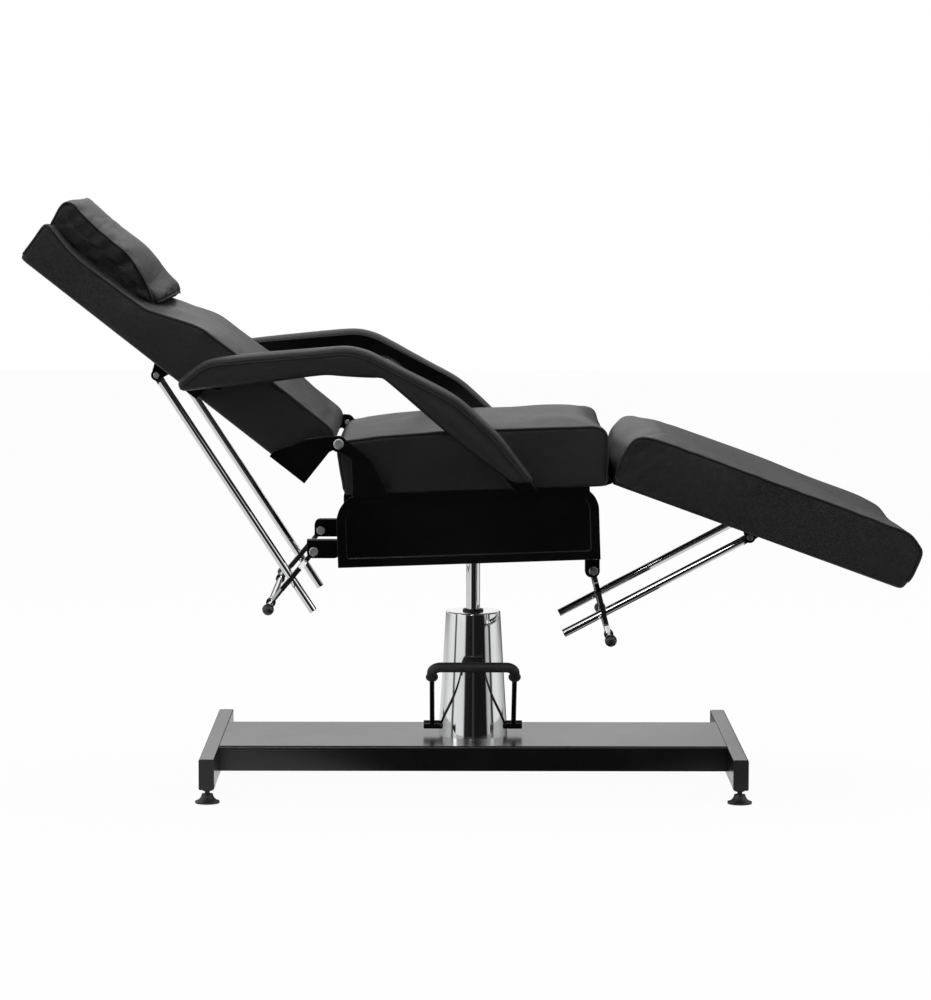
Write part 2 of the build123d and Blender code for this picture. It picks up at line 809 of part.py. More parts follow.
def cushion(
    node, plane, foot, rim, half_width, crown=cushion_crown, boarded=True, seated_on=None
):
    """A boxed cushion: one side view carried across, crowned between its two side panels.

    foot holds the start and end places along the plane. rim holds the place, height and radius
    of each upper corner from start to end. A seam runs round both side panels.
    """
    (foot_start, foot_y), (foot_end, _) = foot
    radii = (cushion_foot_radius, *[radius for _, _, radius in rim], cushion_foot_radius)

    def corners(lift=0.0):
        raised = [(x, y + lift) for x, y, _ in rim]
        return (foot_start, foot_y), *raised, (foot_end, foot_y)

    with BuildPart() as pad:
        for side, lift in ((-1, 0.0), (0, crown), (1, 0.0)):
            with BuildSketch(plane.offset(side * half_width)):
                with BuildLine():
                    FilletPolyline(*corners(lift), radius=radii, close=True)
                make_face()
        loft()
        side_panels = pad.faces().sort_by(Axis.Y)
        fillet(side_panels[0].edges() + side_panels[-1].edges(), cushion_hem)
        for side in (-1, 1):
            with BuildSketch(plane.offset(side * (half_width - seam_depth))):
                with BuildLine():
                    FilletPolyline(*corners(), radius=radii, close=True)
                make_face()
                offset(amount=-seam_inset)
                offset(amount=-seam_width, mode=Mode.SUBTRACT)
            extrude(amount=side * (seam_depth + overrun), mode=Mode.SUBTRACT)
        if boarded:
            with BuildSketch(deck(plane, foot_y)):
                board_outline(foot_start, foot_end, half_width)
            extrude(amount=board_thickness, mode=Mode.SUBTRACT)
        if seated_on is not None:
            add(seated_on, mode=Mode.SUBTRACT)
    save(pad.part, node)
    return pad.part


seat_foot = ((-seat_rear_foot, panel_height), (seat_front_foot, panel_height))
seat_rim = (
    (-seat_rear, panel_height + seat_rear_rise, cushion_nose),
    (-seat_peak, panel_height + seat_peak_rise, seat_peak_radius),
    (seat_front, panel_height + seat_front_rise, cushion_nose),
)
back_foot = ((back_start_foot, -back_thickness), (back_foot_length, -back_thickness))
back_rim = (
    (back_start, back_lumbar_rise, cushion_nose),
    (back_lumbar_end, back_lumbar_rise, back_lumbar_radius),
    (back_neck, -back_neck_drop, back_neck_radius),
    (back_length, -back_top_drop, back_top_nose),
)
leg_foot = ((leg_start, 0), (leg_foot_length, 0))
leg_rim = (
    (leg_start, leg_thickness, cushion_nose), (leg_length, leg_tip_thickness, leg_tip_nose),
)
headrest_foot_y = -back_neck_drop - headrest_sink
headrest_foot = ((headrest_start, headrest_foot_y), (headrest_end, headrest_foot_y))
headrest_rim = (
    (headrest_start, -headrest_lip_drop, headrest_lip_radius),
    (headrest_brow, headrest_brow_rise, headrest_brow_radius),
    (headrest_shoulder, headrest_shoulder_rise, headrest_shoulder_radius),
    (headrest_end, headrest_end_rise, headrest_nose),
)

board("seat_board", seat_plane(), seat_foot, cushion_half_width)
board("back_board", back_plane(), back_foot, cushion_half_width)
board("leg_board", leg_plane(), leg_foot, cushion_half_width)
cushion("seat_cushion", seat_plane(), seat_foot, seat_rim, cushion_half_width)
back_pad = cushion("back_cushion", back_plane(), back_foot, back_rim, cushion_half_width)
cushion("leg_cushion", leg_plane(), leg_foot, leg_rim, cushion_half_width)
cushion(
    "headrest_cushion", back_plane(), headrest_foot, headrest_rim, headrest_half_width,
    crown=headrest_crown, boarded=False, seated_on=back_pad,
)


# --- angle plates: an upright leaf beside a cushion and a flange in under its board
def local_y(plane, y):
    """A side's world Y as the local y of a deck on the plane."""
    return -y * plane.z_dir.Y


def angle_plate(node, plane, places, eye, foot_y, inner, sheet, side, stud=None):
    """Leaf outlined by places round an eye (x, y, radius, bore), with its flange inwards."""
    start, end = places[0][0], places[1][0]
    outward = sheet * side * plane.z_dir.Y
    with BuildPart() as leaf:
        with BuildSketch(Plane(
            origin=plane.origin + Vector(0, side * inner, 0), x_dir=plane.x_dir,
            z_dir=plane.z_dir,
        )) as upright:
            with BuildLine():
                Polyline(*places, close=True)
            make_face()
            with Locations((eye[0], eye[1])):
                Circle(eye[2])
                if eye[3] > 0:
                    Circle(eye[3], mode=Mode.SUBTRACT)
        extrude(amount=outward)
        with BuildSketch(deck(plane, foot_y)):
            with Locations(((start + end) / 2, local_y(plane, side * (inner + sheet))
                            - local_y(plane, side) * hinge_flange / 2)):
                Rectangle(end - start, hinge_flange)
        extrude(amount=-sheet)
        if stud is not None:
            face = Plane(origin=world(plane, eye[0], eye[1]) + Vector(0, side * inner, 0),
                         x_dir=plane.x_dir, z_dir=(0, side, 0))
            with BuildSketch(face.offset(sheet)):
                Circle(stud[0] / 2)
            extrude(amount=stud[1])
            with BuildSketch(face.offset(sheet + stud[1])):
                Circle(stud[2] / 2)
            extrude(amount=stud[3])
            chamfer(leaf.faces().sort_by(Axis((0, 0, 0), (0, side, 0)))[-1].edges(),
                    stud[3] / 3)
    save(leaf.part, node)


def round_pivot(pivot, foot_y, shares):
    height = pivot.Y - foot_y
    return [(pivot.X + x * height, pivot.Y + y * height) for x, y in shares]


# corners about the recline hinge as shares of its height over the flange, the flange first
seat_hinge_shares = (
    (0.230, -1.0), (0.885, -1.0), (0.885, -0.905), (0.590, -0.300), (0.080, 0.125),
    (-0.120, -0.080), (0.230, -0.310),
)
back_hinge_shares = (
    (0.050, -1.0), (0.920, -1.0), (0.930, -0.920), (0.530, -0.270), (0.130, 0.110),
    (-0.110, 0.080), (0.045, -0.240),
)
seat_hinge_pivot = seat_plane().to_local_coords(recline_pivot)
arm_pivot_local = seat_plane().to_local_coords(arm_pivot)
arm_bracket_foot = (
    (arm_pivot_local.X + arm_bracket_lean - arm_bracket_width / 2, panel_height),
    (arm_pivot_local.X + arm_bracket_lean + arm_bracket_width / 2, panel_height),
    (arm_pivot_local.X + arm_bracket_width / 2, arm_pivot_local.Y),
    (arm_pivot_local.X - arm_bracket_width / 2, arm_pivot_local.Y),
)
arm_bolt_foot = (
    (arm_bolt_u - arm_bracket_width / 2, -back_thickness),
    (arm_bolt_u + arm_bracket_width / 2, -back_thickness),
    (arm_bolt_u + arm_bracket_width / 2, arm_bolt_v),
    (arm_bolt_u - arm_bracket_width / 2, arm_bolt_v),
)
arm_stud = (
    arm_pin_diameter, arm_inner + arm_web + body_gap - side_inner - arm_bracket_sheet,
    arm_head_diameter, arm_plate_thickness - arm_web - 2 * body_gap,
)
for side, end in ((-1, "near"), (1, "far")):
    angle_plate(
        f"seat_hinge_plate_{end}", seat_plane(),
        round_pivot(seat_hinge_pivot, panel_height, seat_hinge_shares),
        (seat_hinge_pivot.X, seat_hinge_pivot.Y, hinge_eye, hinge_pin_diameter / 2),
        panel_height, side_inner, hinge_sheet, side,
    )
    angle_plate(
        f"back_hinge_plate_{end}", back_plane(),
        round_pivot(Vector(0, 0, 0), -back_thickness, back_hinge_shares),
        (0, 0, hinge_eye, hinge_pin_diameter / 2 + pin_clearance),
        -back_thickness, side_inner + hinge_sheet + body_gap, hinge_sheet, side,
    )
    angle_plate(
        f"arm_bracket_{end}", seat_plane(), arm_bracket_foot,
        (arm_pivot_local.X, arm_pivot_local.Y, arm_bracket_width / 2, 0),
        panel_height, side_inner, arm_bracket_sheet, side, arm_stud,
    )
    angle_plate(
        f"arm_bolt_plate_{end}", back_plane(), arm_bolt_foot,
        (arm_bolt_u, arm_bolt_v, arm_bracket_width / 2, 0),
        -back_thickness, side_inner, arm_bracket_sheet, side, arm_stud,
    )

with BuildPart() as hinge_pins:
    for side in (-1, 1):
        pin_face = Plane(origin=recline_pivot + Vector(0, side * side_inner, 0),
                         z_dir=(0, side, 0))
        with BuildSketch(pin_face):
            Circle(hinge_pin_diameter / 2)
        extrude(amount=2 * hinge_sheet + 2 * body_gap)
        with BuildSketch(pin_face.offset(2 * hinge_sheet + 2 * body_gap)):
            Circle(hinge_head_diameter / 2)
        extrude(amount=hinge_head_height)
    fillet(
        hinge_pins.faces().sort_by(Axis.Y)[0].edges()
        + hinge_pins.faces().sort_by(Axis.Y)[-1].edges(),
        hinge_head_height / 2,
    )
save(hinge_pins.part, "hinge_pins")


# --- leg rest hinge: one leaf under each board, knuckles in turn along the pin
leg_pivot = world(leg_plane(), 0, 0)
leg_pivot_local = seat_plane().to_local_coords(leg_pivot)
knuckle_count = 2 * int(leg_hinge_half_width / leg_knuckle_pitch)
knuckle_pitch = 2 * leg_hinge_half_width / knuckle_count


def knuckle_planes(first):
    """Faces of every other knuckle space, for the other leaf to turn in."""
    return [
        Plane(
            origin=leg_pivot + Vector(
                0, -leg_hinge_half_width + knuckle_pitch * (first + 2 * number) - body_gap / 2, 0
            ),
            x_dir=(1, 0, 0), z_dir=(0, 1, 0),
        )
        for number in range(knuckle_count // 2)
    ]


with BuildPart() as leg_hinge_seat_leaf:
    with BuildSketch(seat_plane()):
        with BuildLine():
            Polyline(
                (leg_pivot_local.X - leg_hinge_reach - leg_knuckle, panel_height),
                (leg_pivot_local.X - leg_hinge_reach - leg_knuckle,
                 panel_height - leg_hinge_leaf),
                (leg_pivot_local.X - 2 * leg_knuckle, panel_height - leg_hinge_leaf),
                (leg_pivot_local.X, leg_pivot_local.Y - leg_knuckle),
                (leg_pivot_local.X - leg_knuckle / 2, leg_pivot_local.Y),
                (leg_pivot_local.X - 3 * leg_knuckle, panel_height),
                close=True,
            )
        make_face()
        with Locations((leg_pivot_local.X, leg_pivot_local.Y)):
            Circle(leg_knuckle)
    extrude(amount=leg_hinge_half_width, both=True)
    with BuildSketch(*knuckle_planes(1)):
        Circle(leg_knuckle + leg_hinge_leaf)
    extrude(amount=knuckle_pitch + body_gap, mode=Mode.SUBTRACT)
    with BuildSketch(side_plane(leg_hinge_half_width, leg_pivot.X, leg_pivot.Z)):
        Circle(leg_hinge_pin / 2)
    extrude(amount=2 * leg_hinge_half_width)
save(leg_hinge_seat_leaf.part, "leg_hinge_seat_leaf")

with BuildPart() as leg_hinge_leaf_part:
    with BuildSketch(leg_plane()):
        with BuildLine():
            Polyline(
                (0, 0), (leg_hinge_reach + leg_knuckle, 0),
                (leg_hinge_reach + leg_knuckle, -leg_hinge_leaf), (0, -leg_hinge_leaf),
                close=True,
            )
        make_face()
        Circle(leg_knuckle)
        Circle(leg_hinge_pin / 2 + pin_clearance, mode=Mode.SUBTRACT)
    extrude(amount=leg_hinge_half_width, both=True)
    with BuildSketch(*knuckle_planes(0)):
        Circle(leg_knuckle + leg_hinge_leaf)
    extrude(amount=knuckle_pitch + body_gap, mode=Mode.SUBTRACT)
save(leg_hinge_leaf_part.part, "leg_hinge_leaf")


# --- strut clevises, struts, lever bushes, bolts and release levers
def clevis_bar(node, plane, foot_y, x, y, spacing, eye_radius):
    """Strap across the underside of a board with a pair of ears at each strut."""
    with BuildPart() as strap:
        with BuildSketch(deck(plane, foot_y)):
            with Locations((x, 0)):
                RectangleRounded(clevis_width, 2 * spacing + clevis_width, lever_neck)
        extrude(amount=-clevis_sheet)
        for side in (-1, 1):
            for face in (-1, 1):
                ear_y = side * spacing + face * (strut_tang / 2 + body_gap)
                with BuildSketch(Plane(origin=plane.origin + Vector(0, ear_y, 0),
                                       x_dir=plane.x_dir, z_dir=plane.z_dir)):
                    with BuildLine():
                        Polyline(
                            (x - clevis_width / 3, foot_y - clevis_sheet),
                            (x + clevis_width / 3, foot_y - clevis_sheet),
                            (x + eye_radius, y), (x - eye_radius, y), close=True,
                        )
                    make_face()
                    with Locations((x, y)):
                        Circle(eye_radius)
                        Circle(strut_pin / 2, mode=Mode.SUBTRACT)
                extrude(amount=face * plane.z_dir.Y * clevis_sheet)
    save(strap.part, node)


def clevis_pins(node, centre, spacing):
    """Headed pins through both pairs of ears."""
    reach = strut_tang / 2 + body_gap + clevis_sheet
    with BuildPart() as pins:
        for side in (-1, 1):
            face = Plane(origin=centre + Vector(0, side * spacing, 0), z_dir=(0, 1, 0))
            with BuildSketch(face):
                Circle(strut_pin / 2)
            extrude(amount=reach, both=True)
            for end in (-1, 1):
                with BuildSketch(face.offset(end * reach)):
                    Circle(strut_pin * 0.75)
                extrude(amount=end * strut_pin / 4)
    save(pins.part, node)


def strut(node, centre, direction, length, y):
    """Round rod with a flattened, bored eye at its pivot."""
    start = centre + Vector(0, y, 0)
    tang = strut_eye + strut_tang / 2
    side_view = Plane(origin=start, x_dir=direction, z_dir=(0, 1, 0))
    with BuildPart() as rod:
        with BuildSketch(Plane(origin=start + direction * tang, z_dir=direction)):
            Circle(strut_diameter / 2)
        extrude(amount=length - tang)
        chamfer(rod.faces().sort_by(Axis(start, direction))[-1].edges(), strut_chamfer)
        with BuildSketch(side_view):
            Circle(strut_eye)
            with Locations((tang / 2 + strut_chamfer, 0)):
                Rectangle(tang + 2 * strut_chamfer, strut_diameter)
        extrude(amount=strut_tang / 2, both=True)
        with BuildSketch(side_view):
            Circle(strut_pin / 2 + pin_clearance)
        extrude(amount=strut_tang, both=True, mode=Mode.SUBTRACT)
    save(rod.part, node)


def lever_bushes(node, pivot, spacing):
    with BuildPart() as bushes:
        for side in (-1, 1):
            with BuildSketch(side_plane(side * spacing, pivot.X, pivot.Z)):
                Circle(bush_outer / 2)
                Circle(bolt_diameter / 2 + pin_clearance, mode=Mode.SUBTRACT)
            extrude(amount=bush_length / 2 - bush_play, both=True)
    save(bushes.part, node)


def lever_bolts(node, pivot, spacing):
    """Hexagon bolts with washers outside the cheeks and nuts inside them."""
    reach = bush_length / 2 + clevis_sheet
    with BuildPart() as bolts:
        for side in (-1, 1):
            face = Plane(origin=pivot + Vector(0, side * spacing, 0), z_dir=(0, side, 0))
            with BuildSketch(face):
                Circle(bolt_diameter / 2)
            extrude(amount=reach, both=True)
            for end, height in ((1, bolt_head_height), (-1, bolt_head_height)):
                with BuildSketch(face.offset(end * reach)):
                    Circle(bolt_washer / 2)
                extrude(amount=end * bolt_washer_height)
                with BuildSketch(face.offset(end * (reach + bolt_washer_height))):
                    RegularPolygon(bolt_head_width / 2, 6, major_radius=False)
                extrude(amount=end * height)
    save(bolts.part, node)


def lever(node, pivot, direction, y, slot_at, slot_length, length):
    """Slotted lever: bushed eye, flat plate that the strut runs through, bored boss."""
    start = pivot + Vector(0, y, 0)
    side_view = Plane(origin=start, x_dir=direction, z_dir=(0, 1, 0))
    flat = Plane(origin=start, x_dir=direction, z_dir=side_view.y_dir)
    eye_half = bush_length / 2 - 2 * bush_play
    with BuildPart() as plate:
        with BuildSketch(flat) as plan:
            with BuildLine():
                Polyline(
                    (0, -eye_half), (lever_taper_start, -eye_half),
                    (lever_shoulder, -lever_width / 2),
                    (slot_at + slot_length / 2 + lever_neck, -lever_width / 2),
                    (length, -lever_boss_length / 2), (length, lever_boss_length / 2),
                    (slot_at + slot_length / 2 + lever_neck, lever_width / 2),
                    (lever_shoulder, lever_width / 2), (lever_taper_start, eye_half),
                    (0, eye_half), close=True,
                )
            make_face()
            with Locations((slot_at, 0)):
                SlotOverall(slot_length, lever_slot_width, mode=Mode.SUBTRACT)
        extrude(amount=lever_neck / 2, both=True)
        with BuildSketch(side_view):
            Circle(lever_eye)
        extrude(amount=eye_half, both=True)
        with BuildSketch(side_view):
            with Locations((length, 0)):
                Circle(lever_boss)
        extrude(amount=lever_boss_length / 2, both=True)
        with BuildSketch(side_view):
            Circle(bush_outer / 2 + pin_clearance)
            with Locations((length, 0)):
                Circle(lever_bar_diameter / 2)
        extrude(amount=lever_width, both=True, mode=Mode.SUBTRACT)
    save(plate.part, node)


def lever_bar(node, pivot, direction, length, ball_spacing):
    with BuildPart() as bar:
        with BuildSketch(Plane(origin=pivot + direction * length, z_dir=(0, 1, 0))):
            Circle(lever_bar_diameter / 2)
        extrude(amount=ball_spacing, both=True)
    save(bar.part, node)


def lever_balls(node, pivot, direction, length, diameter, ball_spacing):
    """Ball knobs pushed onto the ends of the bar."""
    with BuildPart() as balls:
        for side in (-1, 1):
            centre = pivot + direction * length + Vector(0, side * ball_spacing, 0)
            with BuildSketch(Plane(origin=centre, x_dir=(0, side, 0), z_dir=(0, 0, 1))):
                with BuildLine():
                    ThreePointArc((-diameter / 2, 0), (0, diameter / 2), (diameter / 2, 0))
                    Line((diameter / 2, 0), (-diameter / 2, 0))
                make_face()
            revolve(axis=Axis(centre, (0, 1, 0)))
            with BuildSketch(Plane(origin=centre, z_dir=(0, -side, 0))):
                Circle(lever_bar_diameter / 2)
            extrude(amount=diameter, mode=Mode.SUBTRACT)
    save(balls.part, node)


clevis_bar("rear_clevis_bar", back_plane(), -back_thickness, rear_pivot_u, -rear_pivot_v,
           rear_strut_spacing, strut_eye + sheet_gap)
clevis_bar("front_clevis_bar", leg_plane(), 0, front_pivot_x, -front_pivot_drop,
           front_strut_spacing, strut_eye + sheet_gap)
for end, pivot, spacing in (
    ("rear", rear_pivot, rear_strut_spacing), ("front", front_pivot, front_strut_spacing),
):
    clevis_pins(f"{end}_clevis_pins", pivot, spacing)
for side, end in ((-1, "near"), (1, "far")):
    strut(f"rear_strut_{end}", rear_pivot, rear_strut_dir, rear_strut_length,
          side * rear_strut_spacing)
    strut(f"front_strut_{end}", front_pivot, front_strut_dir, front_strut_length,
          side * front_strut_spacing)
    lever(f"rear_lever_{end}", rear_bolt, rear_lever_dir, side * rear_strut_spacing,
          rear_slot_at, rear_slot_length, rear_lever_length)
    lever(f"front_lever_{end}", front_bolt, front_lever_dir, side * front_strut_spacing,
          front_slot_at, front_slot_length, front_lever_length)
lever_bushes("rear_lever_bushes", rear_bolt, rear_strut_spacing)
lever_bushes("front_lever_bushes", front_bolt, front_strut_spacing)
lever_bolts("rear_lever_bolts", rear_bolt, rear_strut_spacing)
lever_bolts("front_lever_bolts", front_bolt, front_strut_spacing)
lever_bar("rear_lever_bar", rear_bolt, rear_lever_dir, rear_lever_length, rear_ball_spacing)
lever_bar("front_lever_bar", front_bolt, front_lever_dir, front_lever_length,
          front_ball_spacing)
lever_balls("rear_lever_balls", rear_bolt, rear_lever_dir, rear_lever_length,
            rear_ball_diameter, rear_ball_spacing)
lever_balls("front_lever_balls", front_bolt, front_lever_dir, front_lever_length,
            front_ball_diameter, front_ball_spacing)


# --- arms: a slotted steel plate on the inner face of each padded arm
arm_corners = [(x * arm_length, y * arm_length) for x, y in arm_outline_shares]
arm_radii = [share * arm_length for share in arm_corner_shares]
slot_middle = (arm_bolt - arm_pivot).length + (arm_slot_out - arm_slot_in) / 2
slot_travel = arm_slot_out + arm_slot_in
slot_place = (
    slot_middle * math.cos(math.radians(arm_slot_turn)),
    slot_middle * math.sin(math.radians(arm_slot_turn)),
)
pocket_width = arm_head_diameter + 4 * sheet_gap
for side, end in ((-1, "near"), (1, "far")):
    plate_plane = arm_plane(side * arm_inner)
    with BuildPart() as arm_plate:
        with BuildSketch(plate_plane):
            with BuildLine():
                FilletPolyline(*arm_corners, radius=arm_radii, close=True)
            make_face()
            offset(amount=-arm_plate_inset, mode=Mode.REPLACE)
            with Locations(Location((slot_place[0], slot_place[1], 0), (0, 0, arm_slot_turn))):
                SlotOverall(slot_travel + pocket_width, pocket_width)
            Circle(arm_pin_diameter / 2 + pin_clearance, mode=Mode.SUBTRACT)
            with Locations(Location((slot_place[0], slot_place[1], 0), (0, 0, arm_slot_turn))):
                SlotOverall(
                    slot_travel + arm_pin_diameter + 2 * body_gap,
                    arm_pin_diameter + 2 * body_gap, mode=Mode.SUBTRACT,
                )
        extrude(amount=-side * arm_plate_thickness)
        with BuildSketch(arm_plane(side * (arm_inner + arm_web))):
            Circle(pocket_width / 2)
            with Locations(Location((slot_place[0], slot_place[1], 0), (0, 0, arm_slot_turn))):
                SlotOverall(slot_travel + pocket_width, pocket_width)
        extrude(amount=-side * arm_plate_thickness, mode=Mode.SUBTRACT)
    save(arm_plate.part, f"arm_plate_{end}")
    pad_y = arm_inner + arm_plate_thickness
    with BuildPart() as arm_pad:
        with BuildSketch(arm_plane(side * pad_y)):
            with BuildLine():
                FilletPolyline(*arm_corners, radius=arm_radii, close=True)
            make_face()
        extrude(amount=-side * arm_pad_thickness)
        fillet(
            arm_pad.faces().filter_by(Axis.Y).edges(), arm_pad_round_share * arm_length
        )
    save(arm_pad.part, f"arm_pad_{end}")
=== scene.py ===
"""Looks of an adjustable tattoo chair: padded covers, finishes, studio and camera.

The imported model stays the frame: its rigid pieces keep their shape and get a finish, and each
padded piece is rebuilt here as a sewn cover over foam. Metres throughout, in the frame's axes.
"""

import json
import logging
import math
from dataclasses import dataclass, field
from enum import Enum
from typing import Iterable, Sequence

import bpy
import numpy as np
from bpy.types import (
    ID, Material, Mesh, Node, NodeInputs, NodeOutputs, NodeSocket, NodeTree, Object)
from mathutils import Matrix, Vector, noise
from mathutils.bvhtree import BVHTree
from mathutils.kdtree import KDTree


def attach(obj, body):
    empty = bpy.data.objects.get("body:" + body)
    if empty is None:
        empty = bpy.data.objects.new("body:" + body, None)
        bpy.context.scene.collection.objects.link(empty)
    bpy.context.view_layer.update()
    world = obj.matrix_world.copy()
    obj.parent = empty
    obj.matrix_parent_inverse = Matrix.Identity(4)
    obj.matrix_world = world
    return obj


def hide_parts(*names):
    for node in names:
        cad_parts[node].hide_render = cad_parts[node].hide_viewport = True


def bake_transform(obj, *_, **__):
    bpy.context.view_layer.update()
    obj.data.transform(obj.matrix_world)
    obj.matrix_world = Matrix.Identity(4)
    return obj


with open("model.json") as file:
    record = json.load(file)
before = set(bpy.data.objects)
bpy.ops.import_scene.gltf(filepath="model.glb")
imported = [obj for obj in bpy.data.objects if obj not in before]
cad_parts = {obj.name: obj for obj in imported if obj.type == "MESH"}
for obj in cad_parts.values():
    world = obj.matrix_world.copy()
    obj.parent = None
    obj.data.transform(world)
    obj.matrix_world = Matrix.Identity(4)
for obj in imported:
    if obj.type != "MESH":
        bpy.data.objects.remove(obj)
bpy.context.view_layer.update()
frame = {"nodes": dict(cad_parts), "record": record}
log = logging.getLogger("chair")

Triple = tuple[float, float, float]
Place = tuple[float, float]
Relief = tuple[NodeSocket, NodeSocket | None]


class Slot(Enum):
    """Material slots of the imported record."""

    BASE_PAINT = "base_paint"
    FRAME_PAINT = "frame_paint"
    CHROME = "chrome"
    ZINC = "zinc_steel"
    UPHOLSTERY = "upholstery"
    PLYWOOD = "plywood"
    PLASTIC = "black_plastic"
    BALL = "ball_plastic"
    RUBBER = "black_rubber"


class Field(Enum):
    """Kinds of socket on a shader node group."""

    VALUE = "NodeSocketFloat"
    VECTOR = "NodeSocketVector"


# --- shader building


class Graph:
    """A node tree with short calls to add and link its nodes."""

    def __init__(self, tree: NodeTree) -> None:
        """Wraps a node tree and empties it."""
        self.tree = tree
        tree.nodes.clear()

    def put(self, value: object, socket: NodeSocket) -> None:
        """Feeds an input.

        Args:
            value: an output to link to it, or the number, place or colour that it gets.
            socket: the input.
        """
        if isinstance(value, NodeSocket):
            self.tree.links.new(value, socket)
        else:
            socket.default_value = value

    def add(self, kind: str, **values: object) -> Node:
        """Adds a node and sets its properties and inputs.

        Args:
            kind: Blender's node type, without its ShaderNode.
            values: node properties by name, or inputs as in_Name (blanks as __).

        Returns:
            The new node.
        """
        node = self.tree.nodes.new("ShaderNode" + kind)
        for name, value in values.items():
            if name.startswith("in_"):
                key = name[3:].replace("__", " ")
                self.put(value, node.inputs[int(key) if key.isdigit() else key])
            else:
                setattr(node, name, value)
        return node

    def math(self, operation: str, *terms: object) -> NodeSocket:
        """A Math node, given back as its output."""
        return self.add("Math", operation=operation, **{
            f"in_{index}": term for index, term in enumerate(terms)}).outputs[0]

    def mix(self, kind: str, factor: NodeSocket, first: object, second: object) -> NodeSocket:
        """A Mix node of kind FLOAT or RGBA, given back as its output."""
        node = self.add("Mix", data_type=kind, in_Factor=factor, in_A=first, in_B=second)
        return node.outputs["Result"]

    def spread(self, value: NodeSocket, source: Place, target: Place,
               smooth: bool = False) -> NodeSocket:
        """Maps a value from the source range to the target range and clamps it there."""
        return self.add(
            "MapRange", interpolation_type="SMOOTHSTEP" if smooth else "LINEAR", in_0=value,
            in_From__Min=source[0], in_From__Max=source[1], in_To__Min=target[0],
            in_To__Max=target[1]).outputs[0]

    def greys(self, value: NodeSocket, stops: Sequence[Place]) -> NodeSocket:
        """A grey colour ramp.

        Args:
            value: what runs along the ramp.
            stops: position and grey of each stop.

        Returns:
            The ramp's colour.
        """
        node = self.add("ValToRGB", in_0=value)
        elements = node.color_ramp.elements
        while len(elements) < len(stops):
            elements.new(0.5)
        for element, (position, grey) in zip(elements, stops):
            element.position = position
            element.color = (grey, grey, grey, 1.0)
        return node.outputs[0]


def shader_group(name: str, inputs: dict[str, float], outputs: Sequence[str]
                 ) -> tuple[Graph, NodeOutputs, NodeInputs]:
    """Starts a shader node group that takes a Place and numbers, and puts out values.

    Args:
        name: the group's name.
        inputs: each number that goes in, with its default.
        outputs: each value that comes out.

    Returns:
        The group's graph, the sockets that bring its inputs and those that take its outputs.
    """
    tree = bpy.data.node_groups.new(name, "ShaderNodeTree")
    tree.interface.new_socket("Place", in_out="INPUT", socket_type=Field.VECTOR.value)
    for label, default in inputs.items():
        socket = tree.interface.new_socket(label, in_out="INPUT", socket_type=Field.VALUE.value)
        socket.default_value = default
    for label in outputs:
        tree.interface.new_socket(label, in_out="OUTPUT", socket_type=Field.VALUE.value)
    graph = Graph(tree)
    start, end = tree.nodes.new("NodeGroupInput"), tree.nodes.new("NodeGroupOutput")
    return graph, start.outputs, end.inputs


